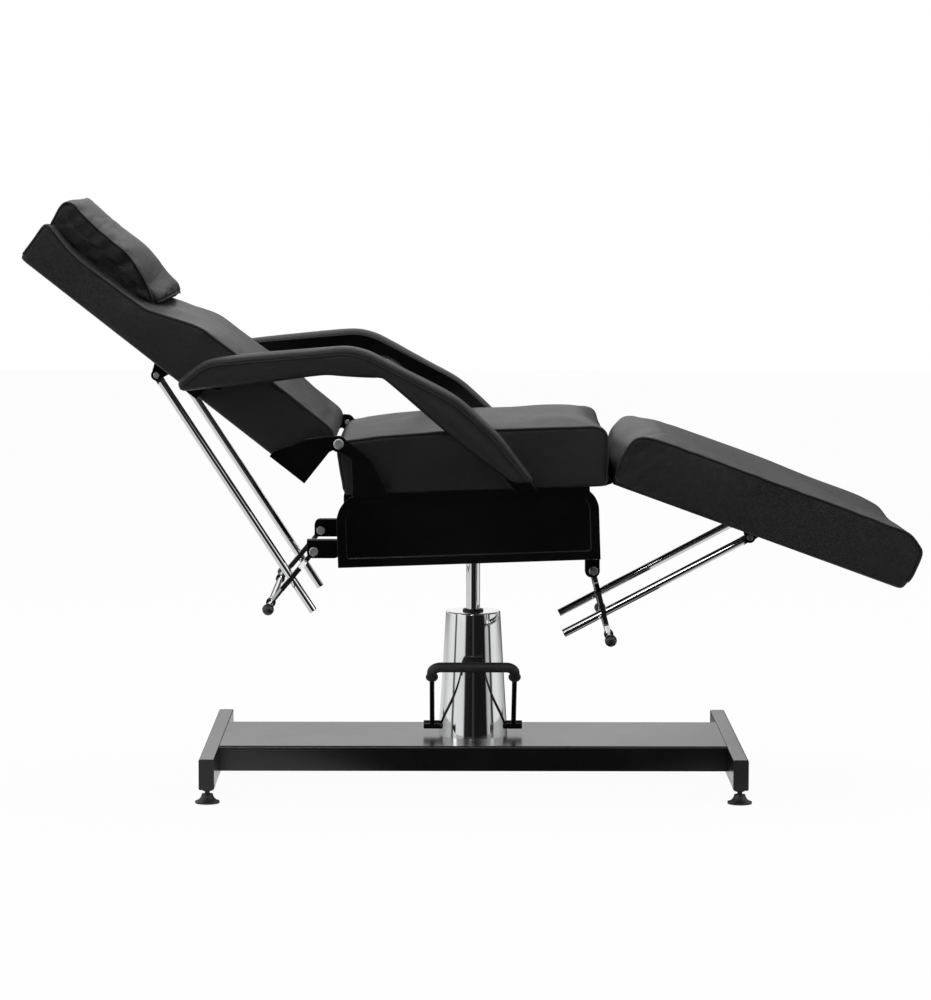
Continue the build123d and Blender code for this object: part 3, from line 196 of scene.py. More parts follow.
class Effects:
    """Shader node groups that several finishes share, each built once."""

    warp: float = 0.0022
    crease_width: float = 0.16
    grain_share: float = 0.35
    scratch_width: float = 0.006
    scratched: Place = (0.52, 0.66)

    def __init__(self) -> None:
        """Builds the groups."""
        self.grain = self._grain()
        self.handling = self._handling()
        self.peel = self._peel()

    def _grain(self) -> NodeTree:
        """Pressed hide grain: small cells parted by creases, under slow tension folds.

        Returns:
            A group that puts out the grain's Height and its Crease mask.
        """
        graph, start, end = shader_group(
            "hide grain", {"Cells": 900.0, "Folds": 40.0, "Fold Share": 0.4},
            ("Height", "Crease"))
        warp = graph.add("TexNoise", in_Vector=start["Place"], in_Scale=180.0, in_Detail=2.0)
        bent = graph.add("VectorMath", operation="MULTIPLY_ADD", in_0=warp.outputs["Color"],
                         in_1=(self.warp,) * 3, in_2=start["Place"])
        cells = graph.add("TexVoronoi", feature="DISTANCE_TO_EDGE", in_Vector=bent.outputs[0],
                          in_Scale=start["Cells"])
        crease = graph.spread(cells.outputs["Distance"], (0.0, self.crease_width), (1.0, 0.0),
                              smooth=True)
        folds = graph.add("TexNoise", in_Vector=start["Place"], in_Scale=start["Folds"],
                          in_Detail=3.0, in_Roughness=0.55, in_Distortion=0.6)
        relief = graph.math("MULTIPLY", graph.math("SUBTRACT", 1.0, crease), self.grain_share)
        slow = graph.math("MULTIPLY", folds.outputs["Fac"], start["Fold Share"])
        graph.put(graph.math("ADD", relief, slow), end["Height"])
        graph.put(crease, end["Crease"])
        return graph.tree

    def _handling(self) -> NodeTree:
        """Use and cleaning: broad smudges, and thin scratches that wander.

        Returns:
            A group that puts out a Smudge field about 0.5 and a Scratch mask.
        """
        graph, start, end = shader_group(
            "handling", {"Size": 9.0, "Scratches": 60.0}, ("Smudge", "Scratch"))
        smudge = graph.add("TexNoise", in_Vector=start["Place"], in_Scale=start["Size"],
                           in_Detail=6.0, in_Roughness=0.62, in_Distortion=0.8)
        stretch = graph.add("Mapping", in_Vector=start["Place"], in_Scale=(1.0, 7.0, 2.0),
                            in_Rotation=(0.5, 0.2, 0.9))
        fine = graph.add("TexNoise", in_Vector=stretch.outputs[0], in_Scale=start["Scratches"],
                         in_Detail=2.0)
        ridge = graph.math("ABSOLUTE", graph.math("SUBTRACT", fine.outputs["Fac"], 0.5))
        line = graph.spread(ridge, (0.0, self.scratch_width), (1.0, 0.0), smooth=True)
        where = graph.spread(smudge.outputs["Fac"], self.scratched, (0.0, 1.0), smooth=True)
        graph.put(smudge.outputs["Fac"], end["Smudge"])
        graph.put(graph.math("MULTIPLY", line, where), end["Scratch"])
        return graph.tree

    @staticmethod
    def _peel() -> NodeTree:
        """Fine ripple of a sprayed, moulded or plated skin.

        Returns:
            A group that puts out the ripple's Height.
        """
        graph, start, end = shader_group(
            "skin ripple", {"Ripple": 350.0, "Grit": 2400.0, "Grit Share": 0.3}, ("Height",))
        ripple = graph.add("TexNoise", in_Vector=start["Place"], in_Scale=start["Ripple"],
                           in_Detail=2.0)
        grit = graph.add("TexNoise", in_Vector=start["Place"], in_Scale=start["Grit"],
                         in_Detail=1.0)
        graph.put(graph.math("MULTIPLY_ADD", grit.outputs["Fac"], start["Grit Share"],
                             ripple.outputs["Fac"]), end["Height"])
        return graph.tree


@dataclass(frozen=True)
class Finish:
    """A surface finish: tones, gloss and the relief of its skin.

    The two roughness values are those of the cleanest and the most handled place.
    """

    label: str
    tone: Triple
    tone_worn: Triple
    roughness: Place = (0.3, 0.45)
    relief: float = 0.1
    depth: float = 0.0002
    metallic: float = 0.0
    specular: float = 0.5
    coat: float = 0.0
    coat_roughness: float = 0.1
    smudge_size: float = 9.0
    edge_radius: float = 0.0
    wear_from: Place = (0.4, 0.75)
    wear: Place = (0.0, 0.5)
    gloss_from: Place = (0.3, 0.7)

    def _height(self, graph: Graph, place: NodeSocket, effects: Effects) -> Relief:
        """The height of the skin at a place, and a mask of its low places or None."""
        ripple = graph.add("Group", node_tree=effects.peel, in_Place=place)
        return ripple.outputs["Height"], None

    def material(self, effects: Effects) -> Material:
        """Builds the material.

        Args:
            effects: the shared shader groups.

        Returns:
            A procedural material named after the finish.
        """
        made = bpy.data.materials.new(self.label)
        made.use_nodes = True
        graph = Graph(made.node_tree)
        place = graph.add("TexCoord").outputs["Object"]
        used = graph.add("Group", node_tree=effects.handling, in_Place=place,
                         in_Size=self.smudge_size).outputs
        height, low = self._height(graph, place, effects)
        worn = graph.math("MAXIMUM", used["Scratch"],
                          graph.spread(used["Smudge"], self.wear_from, self.wear))
        if low is not None:
            worn = graph.math("MULTIPLY", worn, graph.math("SUBTRACT", 1.0, low))
        bump = graph.add("Bump", in_Strength=self.relief, in_Distance=self.depth,
                         in_Height=height)
        if self.edge_radius > 0.0:
            edges = graph.add("Bevel", samples=6, in_Radius=self.edge_radius)
            graph.put(edges.outputs[0], bump.inputs["Normal"])
        shader = graph.add(
            "BsdfPrincipled",
            in_Base__Color=graph.mix("RGBA", worn, (*self.tone, 1.0), (*self.tone_worn, 1.0)),
            in_Roughness=graph.spread(used["Smudge"], self.gloss_from, self.roughness),
            in_Normal=bump.outputs[0], in_Metallic=self.metallic,
            in_Specular__IOR__Level=self.specular, in_Coat__Weight=self.coat,
            in_Coat__Roughness=self.coat_roughness)
        graph.add("OutputMaterial", in_Surface=shader.outputs[0])
        return made


@dataclass(frozen=True)
class HideFinish(Finish):
    """Black leatherette with a pressed grain."""

    cells: float = 620.0
    folds: float = 26.0
    fold_share: float = 1.1

    def _height(self, graph: Graph, place: NodeSocket, effects: Effects) -> Relief:
        """The pressed grain and the slow folds of the cover, as Finish gives its relief."""
        grain = graph.add("Group", node_tree=effects.grain, in_Place=place, in_Cells=self.cells,
                          in_Folds=self.folds, in_Fold__Share=self.fold_share)
        return grain.outputs["Height"], grain.outputs["Crease"]


@dataclass(frozen=True)
class DrawnFinish(Finish):
    """Metal with drawn lines, or wood with a long figure and thin dark pores."""

    lines: Triple = (60.0, 900.0, 900.0)
    detail: float = 3.0
    distortion: float = 0.0
    pores: Place | None = None

    def _height(self, graph: Graph, place: NodeSocket, effects: Effects) -> Relief:
        """Lines along the axis of the lowest count, as Finish gives its relief.

        Args:
            graph: the material's graph.
            place: the coordinates that the lines follow.
            effects: the shared groups.

        Returns:
            The height, and a mask of the pores or None.
        """
        stretch = graph.add("Mapping", in_Vector=place, in_Scale=self.lines)
        line = graph.add("TexNoise", in_Vector=stretch.outputs[0], in_Scale=1.0,
                         in_Detail=self.detail, in_Distortion=self.distortion).outputs["Fac"]
        if self.pores is None:
            return line, None
        return line, graph.spread(line, self.pores, (1.0, 0.0), smooth=True)


FINISHES: dict[Slot, Finish] = {
    Slot.UPHOLSTERY: HideFinish(
        "black leatherette", (0.0040, 0.0040, 0.0043), (0.0070, 0.0070, 0.0074),
        roughness=(0.30, 0.40), relief=0.8, depth=0.0014, specular=0.45, smudge_size=5.0),
    Slot.BASE_PAINT: Finish(
        "satin black powder paint", (0.0050, 0.0050, 0.0054), (0.009, 0.009, 0.0094),
        roughness=(0.21, 0.25), relief=0.10, depth=0.0003, specular=0.6, smudge_size=2.5,
        edge_radius=0.0012),
    Slot.FRAME_PAINT: Finish(
        "gloss black paint", (0.0014, 0.0014, 0.0016), (0.004, 0.004, 0.0044),
        roughness=(0.12, 0.2), relief=0.05, depth=0.0003, coat=0.25, coat_roughness=0.05,
        edge_radius=0.0022),
    Slot.CHROME: Finish(
        "polished chrome plate", (0.84, 0.845, 0.85), (0.74, 0.74, 0.75),
        roughness=(0.025, 0.085), relief=0.02, depth=0.0002, metallic=1.0),
    Slot.ZINC: DrawnFinish(
        "bright zinc plate", (0.80, 0.81, 0.82), (0.62, 0.62, 0.63),
        roughness=(0.32, 0.48), relief=0.1, depth=0.0001, metallic=1.0, smudge_size=30.0,
        edge_radius=0.0016),
    Slot.PLYWOOD: DrawnFinish(
        "black stained plywood", (0.016, 0.014, 0.013), (0.035, 0.029, 0.024),
        roughness=(0.55, 0.7), relief=0.3, depth=0.0004, specular=0.35,
        lines=(6.0, 90.0, 90.0), detail=5.0, distortion=0.7, pores=(0.42, 0.5)),
    Slot.PLASTIC: Finish(
        "matt black moulding", (0.012, 0.012, 0.0125), (0.02, 0.02, 0.02),
        roughness=(0.42, 0.55), relief=0.2, depth=0.0003, smudge_size=20.0),
    Slot.BALL: Finish(
        "gloss black moulding", (0.012, 0.012, 0.0125), (0.024, 0.024, 0.024),
        roughness=(0.16, 0.28), relief=0.08, depth=0.0003, smudge_size=40.0),
    Slot.RUBBER: Finish(
        "matt black rubber", (0.016, 0.016, 0.0165), (0.028, 0.028, 0.028),
        roughness=(0.5, 0.66), relief=0.3, depth=0.0004, specular=0.4, smudge_size=24.0),
}


# --- outlines and meshes


TINY = 1e-9
CORNER_SAMPLES, LEAST_STEPS = 13, 8
CORNER_SHARE = 0.49  # of an edge, at most, that a rounded corner takes
NOT_QUITE_ACROSS = np.array([0.0, 1.0, 0.02])  # no bead runs just this way


@dataclass(frozen=True)
class SideAxes:
    """Axes of one part in side view: along it, across the chair, and out of its upper face.

    x and z are where the axes start, and turn is the angle in degrees from +X up to the
    direction along the part. flipped is set where the part runs towards -X, so that out
    still points up.
    """

    x: float
    z: float
    turn: float
    flipped: bool = False

    def matrix(self) -> Matrix:
        """Turns and places these axes.

        Returns:
            The matrix from these axes to the frame's.
        """
        angle = math.radians(self.turn)
        along = Vector((math.cos(angle), 0.0, math.sin(angle)))
        across = Vector((0.0, -1.0 if self.flipped else 1.0, 0.0))
        out = along.cross(across)
        made = Matrix((along, across, out)).transposed().to_4x4()
        made.translation = Vector((self.x, 0.0, self.z))
        return made

    def point(self, along: float, out: float) -> Vector:
        """A local point on the chair's middle plane, in the frame."""
        return self.matrix() @ Vector((along, 0.0, out))


def rounded_loop(corners: Sequence[Triple], step: float) -> np.ndarray:
    """A closed outline with rounded corners, sampled evenly.

    Args:
        corners: the polygon's corners with their radii.
        step: distance between samples.

    Returns:
        The samples, one (x, z) row each.
    """
    points: list[np.ndarray] = []
    count = len(corners)
    for index in range(count):
        here = np.array(corners[index][:2])
        back = np.array(corners[index - 1][:2]) - here
        ahead = np.array(corners[(index + 1) % count][:2]) - here
        len_back, len_ahead = np.linalg.norm(back), np.linalg.norm(ahead)
        back, ahead = back / len_back, ahead / len_ahead
        half = math.acos(max(-1.0, min(1.0, float(back @ ahead)))) / 2
        reach = corners[index][2] / max(math.tan(half), TINY)
        reach = min(reach, CORNER_SHARE * min(len_back, len_ahead))
        first, last = here + back * reach, here + ahead * reach
        for share in np.linspace(0.0, 1.0, CORNER_SAMPLES):
            points.append((1 - share) ** 2 * first + 2 * share * (1 - share) * here
                          + share ** 2 * last)
    ring = np.array(points + [points[0]])
    run = np.concatenate([[0.0], np.cumsum(np.linalg.norm(np.diff(ring, axis=0), axis=1))])
    marks = np.linspace(0.0, run[-1], max(int(run[-1] / step), LEAST_STEPS) + 1)[:-1]
    return np.stack([np.interp(marks, run, ring[:, axis]) for axis in (0, 1)], axis=1)


def loop_normals(loop: np.ndarray) -> np.ndarray:
    """Normals of a closed outline, whichever way round it runs.

    Args:
        loop: the outline's samples.

    Returns:
        One outward unit row for each sample.
    """
    along = np.roll(loop, -1, axis=0) - np.roll(loop, 1, axis=0)
    normal = np.stack([along[:, 1], -along[:, 0]], axis=1)
    normal /= np.linalg.norm(normal, axis=1)[:, None]
    ahead = np.roll(loop, -1, axis=0)
    area = float(np.sum(loop[:, 0] * ahead[:, 1] - ahead[:, 0] * loop[:, 1]))
    return normal if area > 0 else -normal


def rising(values: np.ndarray, start: float, run: float) -> np.ndarray:
    """A share for each value, 0 up to start and 1 from a run further on."""
    return np.clip((values - start) / run, 0.0, 1.0)


def ring_faces(rings: int, sides: int, closed: bool) -> list[Sequence[int]]:
    """Faces between rings of points.

    Args:
        rings: how many rings there are, in a row.
        sides: points in each ring.
        closed: True where the last ring joins the first.

    Returns:
        Four vertex numbers for each face.
    """
    faces: list[Sequence[int]] = []
    for row in range(rings if closed else rings - 1):
        below = (row + 1) % rings
        for column in range(sides):
            right = (column + 1) % sides
            faces.append((row * sides + column, row * sides + right,
                          below * sides + right, below * sides + column))
    return faces


def new_mesh(name: str, points: Iterable[Sequence[float]], faces: Iterable[Sequence[int]]
             ) -> Mesh:
    """A mesh from points and faces, smooth shaded.

    Args:
        name: the mesh's name.
        points: vertex places.
        faces: vertex numbers of each face.

    Returns:
        The mesh.
    """
    mesh = bpy.data.meshes.new(name)
    mesh.from_pydata([tuple(point) for point in points], [], [tuple(face) for face in faces])
    mesh.polygons.foreach_set("use_smooth", [True] * len(mesh.polygons))
    mesh.update()
    return mesh


def read_vectors(items: Sequence, name: str) -> np.ndarray:
    """A vector property of every item of a mesh.

    Args:
        items: the mesh's vertices or vertex normals.
        name: the property.

    Returns:
        One row for each item.
    """
    flat = np.empty(len(items) * 3, dtype=np.float32)
    items.foreach_get(name, flat)
    return flat.reshape(-1, 3).astype(float)


def vertex_array(mesh: Mesh) -> np.ndarray:
    """The places of a mesh's vertices."""
    return read_vectors(mesh.vertices, "co")


def normal_array(mesh: Mesh) -> np.ndarray:
    """The normals of a mesh's vertices."""
    return read_vectors(mesh.vertex_normals, "vector")


def set_vertices(mesh: Mesh, places: np.ndarray) -> None:
    """Writes vertex places back to a mesh."""
    mesh.vertices.foreach_set("co", places.astype(np.float32).ravel())
    mesh.update()


def modified_mesh(source: Object) -> Mesh:
    """The object's mesh with its modifiers applied, as a new mesh."""
    graph = bpy.context.evaluated_depsgraph_get()
    return bpy.data.meshes.new_from_object(source.evaluated_get(graph))


def linked_object(name: str, data: ID) -> Object:
    """A new object in the scene.

    Args:
        name: the object's name.
        data: its mesh, lamp or camera.

    Returns:
        The object.
    """
    made = bpy.data.objects.new(name, data)
    bpy.context.scene.collection.objects.link(made)
    return made


def tube_mesh(name: str, path: np.ndarray, radius: float, sides: int = 8,
              closed: bool = False) -> Mesh:
    """A round bead along a path.

    Args:
        name: the mesh's name.
        path: the points it follows.
        radius: the bead's radius.
        sides: points round the bead.
        closed: True where the path's ends join.

    Returns:
        The bead's mesh, with capped ends where it is open.
    """
    count = len(path)
    ahead = np.roll(path, -1, axis=0) - path
    behind = path - np.roll(path, 1, axis=0)
    if not closed:
        ahead[-1], behind[0] = behind[-1], ahead[0]
    along = ahead + behind
    along /= np.linalg.norm(along, axis=1)[:, None]
    side = np.cross(along, NOT_QUITE_ACROSS)
    side /= np.linalg.norm(side, axis=1)[:, None]
    over = np.cross(along, side)
    turns = np.linspace(0, 2 * math.pi, sides, endpoint=False)
    rings = [path + radius * (math.cos(t) * side + math.sin(t) * over) for t in turns]
    points = np.stack(rings, axis=1).reshape(-1, 3)
    faces = ring_faces(count, sides, closed)
    if not closed:
        faces.append(tuple(range(sides)))
        faces.append(tuple(range(count * sides - 1, (count - 1) * sides - 1, -1)))
    return new_mesh(name, points, faces)


# --- padded pieces

OUTLINE_STEP = 0.004
EDGE_STEPS, WIDTH_STEPS, LIP_STEPS = 5, 17, 81
SEAM_RUN_GAP = 7.0  # between the lengths along one seam and those along the next
# Foam that can't lift the cover: next to a seam, at the foot, by a hinge, under a pad.
HELD_REACH, HELD_RUN, HELD_LEAST = 0.016, 0.010, 0.001
FOOT_REACH, FOOT_RUN = 0.008, 0.006
CALM_RUN = PRESSED_RUN = 0.02
FACES_UP = 0.5
SWELL_FRAMES = 20
# What sewing draws in, and where it starts next to a seam or at the foot.
GROOVE_DEPTH, GROOVE_RUN = 0.0010, 0.004
PUCKER_START, BILLOW_START, FOOT_START = 0.006, 0.03, 0.01
PUCKER_DRIFT, PUCKER_SEED = 9.0, 3.7
BOARD_DEPTH, BOARD_RUN, BOARD_EDGE = 0.004, 0.004, 0.006
BEAD_PROUD = 0.45  # of the bead's radius
BEAD_PASSES = 3


@dataclass
class PaddedPiece:
    """A sewn cover over foam: two side panels and a band round them, with beaded seams.

    corners is the side view's outline in the part's own axes, and the seams run round it at
    both sides, or only above seam_above and where the outline faces up by seam_up. middle and
    half_width place it across the chair. foot is the height of its flat underside, board the
    start, end and half width of the board in there, and pressed the run under another pad.
    """

    name: str
    stands_for: str
    body: str
    axes: SideAxes
    corners: tuple[Triple, ...]
    half_width: float
    middle: float = 0.0
    edge_round: float = 0.006
    crown: float = 0.004
    end_bow: float = 0.002
    swell: float = 0.006
    cap: float = 0.016
    pressure: float = 4.0
    cover_mass: float = 0.01
    stretch: float = 3.0
    voxel: float = 0.006
    foot: float = -math.inf
    bead: float = 0.0026
    seam_depth: float = 0.001
    seam_inset: float = 0.0
    seam_above: float = -math.inf
    seam_up: float = -math.inf
    board: Triple | None = None
    pressed: Place | None = None
    calm_below: float = -math.inf
    billow: float = 0.0050
    billow_pitch: float = 6.5
    pucker: float = 0.0018
    pucker_reach: float = 0.028
    pucker_pitch: float = 0.030
    fill: float = 0.8
    blank: Object | None = field(default=None, repr=False)
    rest: np.ndarray | None = field(default=None, repr=False)

    def outline(self) -> np.ndarray:
        """The side view's outline, sampled every few millimetres."""
        return rounded_loop(self.corners, OUTLINE_STEP)

    def seam_is_open(self) -> bool:
        """Whether the seams run round only a part of the outline."""
        return max(self.seam_above, self.seam_up) > -math.inf

    def seam_paths(self) -> list[np.ndarray]:
        """Lines that the beads follow, in the part's axes.

        Returns:
            One open or closed path for each side.
        """
        normals = loop_normals(self.outline())
        loop = self.outline() - self.seam_inset * normals
        if self.seam_is_open():
            keep = (loop[:, 1] > self.seam_above) & (normals[:, 1] > self.seam_up)
            start = int(np.argmax(keep & ~np.roll(keep, 1)))
            loop = np.roll(loop, -start, axis=0)[: int(keep.sum())]
        paths = []
        for side in (-1, 1):
            across = self.middle + side * (self.half_width - self.seam_depth)
            paths.append(np.stack([loop[:, 0], np.full(len(loop), across), loop[:, 1]], axis=1))
        return paths

    def cross_paths(self) -> list[np.ndarray]:
        """Beads that run across the piece; the plain padded piece has none."""
        return []

    def _stations(self) -> list[tuple[float, float]]:
        """Places across the piece with how far the outline is drawn in there.

        Returns:
            Pairs of place and inset, the rounded edges first and last.
        """
        radius = self.edge_round
        edge = []
        for angle in np.linspace(0.0, math.pi / 2, EDGE_STEPS):
            edge.append((self.half_width - radius * (1 - math.sin(angle)),
                         radius * (1 - math.cos(angle))))
        flat = self.half_width - radius
        inner = np.linspace(-flat, flat, WIDTH_STEPS)[1:-1]
        left = [(-place, inset) for place, inset in reversed(edge)]
        return left + [(float(place), 0.0) for place in inner] + edge

    def _shape(self) -> Mesh:
        """The unswollen form: the outline carried across, crowned and closed.

        Returns:
            A closed mesh in the part's axes.
        """
        loop = self.outline()
        normals = loop_normals(loop)
        points: list[Triple] = []
        stations = self._stations()
        for place, inset in stations:
            lift = 1.0 - (place / self.half_width) ** 2
            ring = loop - inset * normals
            out = ring[:, 1] + self.crown * lift * np.clip(normals[:, 1], 0.0, 1.0) ** 2
            along = ring[:, 0] + self.end_bow * lift * normals[:, 0]
            along, out = self.draw_section(along, out, lift)
            points += [(a, self.middle + place, o) for a, o in zip(along, out)]
        count = len(loop)
        faces = ring_faces(len(stations), count, closed=False)
        faces.append(tuple(range(count - 1, -1, -1)))
        faces.append(tuple(range((len(stations) - 1) * count, len(stations) * count)))
        return new_mesh(self.name, points, faces)

    def draw_section(self, along: np.ndarray, out: np.ndarray, lift: float
                     ) -> tuple[np.ndarray, np.ndarray]:
        """Changes a section, by lift from 0 at the side rims to 1 in the middle; here none."""
        return along, out

    def _seam_distance(self, places: np.ndarray) -> tuple[np.ndarray, np.ndarray]:
        """How far each place is from the nearest seam, and how far along that seam.

        Args:
            places: the vertex places.

        Returns:
            The distances, and the lengths along the seams.
        """
        samples = np.concatenate(self.seam_paths())
        tree = KDTree(len(samples))
        for index, sample in enumerate(samples):
            tree.insert(sample, index)
        tree.balance()
        runs = np.concatenate([
            np.concatenate([[0.0], np.cumsum(np.linalg.norm(np.diff(path, axis=0), axis=1))])
            + SEAM_RUN_GAP * number for number, path in enumerate(self.seam_paths())])
        found = [tree.find(place) for place in places]
        return (np.array([hit[2] for hit in found]), runs[[hit[1] for hit in found]])

    def _calm(self, places: np.ndarray) -> np.ndarray:
        """How far the cover stays flat at each place: 1 at a hinge's end, 0 elsewhere."""
        return rising(places[:, 0], self.calm_below + CALM_RUN, -CALM_RUN)

    def lay_out(self) -> None:
        """Makes the remeshed blank that swells in the simulation."""
        rough = linked_object(self.name + "_rough", self._shape())
        remesh = rough.modifiers.new("cells", "REMESH")
        remesh.mode = "VOXEL"
        remesh.voxel_size = self.voxel
        mesh = modified_mesh(rough)
        bpy.data.objects.remove(rough)
        self.blank = linked_object(self.name, mesh)
        places = vertex_array(mesh)
        distance, _ = self._seam_distance(places)
        held = np.maximum(rising(distance, HELD_REACH, -HELD_RUN), self._calm(places))
        held = np.maximum(held, rising(places[:, 2], self.foot + FOOT_REACH, -FOOT_RUN))
        if self.pressed is not None:
            start, end = self.pressed
            inside = np.minimum(places[:, 0] - start, end - places[:, 0])
            upper = normal_array(mesh)[:, 2] > FACES_UP
            held = np.maximum(held, rising(inside, 0.0, PRESSED_RUN) * upper)
        self.rest = places
        group = self.blank.vertex_groups.new(name="held")
        for index in np.nonzero(held > HELD_LEAST)[0]:
            group.add([int(index)], float(held[index]), "REPLACE")
        cloth = self.blank.modifiers.new("foam", "CLOTH")
        cloth.settings.quality = 5
        cloth.settings.mass = self.cover_mass
        cloth.settings.use_pressure = True
        cloth.settings.uniform_pressure_force = self.pressure
        cloth.settings.tension_stiffness = self.stretch
        cloth.settings.compression_stiffness = self.stretch
        cloth.settings.bending_stiffness = 0.3
        cloth.settings.effector_weights.gravity = 0.0
        cloth.settings.vertex_group_mass = "held"
        cloth.collision_settings.use_collision = False
        cloth.point_cache.frame_end = SWELL_FRAMES

    def take_swelling(self) -> None:
        """Takes the simulated places, each moved no further than the cap, and smooths them."""
        mesh = self.blank.data
        shift = vertex_array(modified_mesh(self.blank)) - self.rest
        length = np.linalg.norm(shift, axis=1)
        log.info("%s swells %.4f at most, %.4f on average", self.name, length.max(), length.mean())
        limit = self.cap * np.tanh(length / self.cap) / np.maximum(length, TINY)
        self.blank.modifiers.clear()
        set_vertices(mesh, self.rest + shift * limit[:, None])
        finer = self.blank.modifiers.new("finer", "SUBSURF")
        finer.levels = finer.render_levels = 1
        smooth = modified_mesh(self.blank)
        self.blank.modifiers.clear()
        self.blank.data = smooth
        self.blank.vertex_groups.clear()

    def sew(self) -> None:
        """Draws the cover in along its seams, puckers it there and adds the beads."""
        mesh = self.blank.data
        places, normals = vertex_array(mesh), normal_array(mesh)
        distance, run = self._seam_distance(places)
        off_bead = np.maximum(distance - self.bead, 0.0)
        groove = -GROOVE_DEPTH * np.exp(-(off_bead / GROOVE_RUN) ** 2)
        fade = np.exp(-distance / self.pucker_reach) * (1.0 - np.exp(-distance / PUCKER_START))
        waves = np.array([noise.noise((r / self.pucker_pitch, d * PUCKER_DRIFT, PUCKER_SEED))
                          for r, d in zip(run, distance)])
        slow = np.array([noise.noise(Vector(place) * self.billow_pitch) for place in places])
        relief = groove + (1.0 - self._calm(places)) * (
            self.pucker * fade * waves + self.billow * slow * np.tanh(distance / BILLOW_START))
        relief *= rising(places[:, 2], self.foot, FOOT_START)
        places += normals * relief[:, None]
        if self.board is not None:
            start, end, half = self.board
            margin = np.minimum(np.minimum(places[:, 0] - start, end - places[:, 0]),
                                half - np.abs(places[:, 1]))
            low = rising(places[:, 2], self.foot + FOOT_REACH, -BOARD_RUN)
            places[:, 2] += BOARD_DEPTH * low * rising(margin, 0.0, BOARD_EDGE)
        set_vertices(mesh, places)
        self.dent(mesh)
        surface = BVHTree.FromPolygons(
            [vertex.co for vertex in mesh.vertices], [face.vertices for face in mesh.polygons])
        beads = []
        seams = self.seam_paths()
        for number, path in enumerate(seams + self.cross_paths()):
            laid = []
            for point in path:
                spot, normal, _, _ = surface.find_nearest(Vector(point))
                laid.append(spot + normal * self.bead * BEAD_PROUD)
            line = np.array(laid)
            closed = not self.seam_is_open() and number < len(seams)
            for _ in range(BEAD_PASSES):
                ahead, behind = np.roll(line, -1, axis=0), np.roll(line, 1, axis=0)
                even = 0.5 * line + 0.25 * (ahead + behind)
                if not closed:
                    even[0], even[-1] = line[0], line[-1]
                line = even
            beads.append(tube_mesh(f"{self.name}_bead_{number}", line, self.bead, closed=closed))
        self._join(beads)

    def dent(self, mesh: Mesh) -> None:
        """Shapes that only this piece has; the plain padded piece has none."""

    def _join(self, extras: list[Mesh]) -> None:
        """Joins further meshes to the cover and sets it in the frame.

        Args:
            extras: meshes in the part's axes.
        """
        points = [vertex_array(self.blank.data)]
        faces = [[tuple(face.vertices) for face in self.blank.data.polygons]]
        total = len(points[0])
        for extra in extras:
            points.append(vertex_array(extra))
            faces.append([tuple(total + v for v in face.vertices) for face in extra.polygons])
            total += len(points[-1])
        whole = new_mesh(self.name, np.concatenate(points), [f for part in faces for f in part])
        whole.transform(self.axes.matrix())
        self.blank.data = whole

    def fit(self, material: Material) -> None:
        """Args:
            material: the cover's material.
        """
        self.blank.data.materials.append(material)
        self.attach()
        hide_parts(self.stands_for)
        log.info("%s: %d points on %s", self.name, len(self.blank.data.vertices), self.body)

    def attach(self) -> None:
        """Makes the piece move with its body."""
        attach(self.blank, self.body)


@dataclass
class HeadrestPad(PaddedPiece):
    """The headrest's cover, whose lower end hangs free over the back as a domed lip."""

    lip_start: float = 0.4535
    lip_run: float = 0.045
    dome_run: float = 0.155
    lip_reach: float = 0.022
    dome_rise: float = 0.026
    lip_arch: float = 0.040
    lip_seam: float = 0.004
    fullness: float = 0.4
    top_from: float = -0.010
    top_run: float = 0.030

    def _full(self, lift: np.ndarray | float) -> np.ndarray:
        """How far a section is filled: 0 at the side rims, soon near 1 inwards."""
        return np.clip(lift, 0.0, 1.0) ** self.fullness

    def draw_section(self, along: np.ndarray, out: np.ndarray, lift: float
                     ) -> tuple[np.ndarray, np.ndarray]:
        """Domes the lower end and lifts its lip off the back.

        Args:
            along: places of the section's points along the part.
            out: places of the points out of the part's face.
            lift: 0 at the side rims, 1 in the middle.

        Returns:
            The new places along and out.
        """
        full = self._full(lift)
        dome = rising(along, self.lip_start + self.dome_run, -self.dome_run)
        lip = rising(along, self.lip_start + self.lip_run, -self.lip_run)
        high = rising(out, self.top_from, self.top_run)
        rise = full * (self.dome_rise * high * dome + self.lip_arch * (1.0 - high) * lip)
        return along - self.lip_reach * full * lip, out + rise

    def cross_paths(self) -> list[np.ndarray]:
        """The bead under the lip.

        Returns:
            One path, arched between the side panels.
        """
        across = np.linspace(-self.half_width, self.half_width, LIP_STEPS)
        full = self._full(1.0 - (across / self.half_width) ** 2)
        along = self.lip_start - self.lip_reach * full
        out = self.foot + self.lip_seam + self.lip_arch * full
        return [np.stack([along, self.middle + across, out], axis=1)]


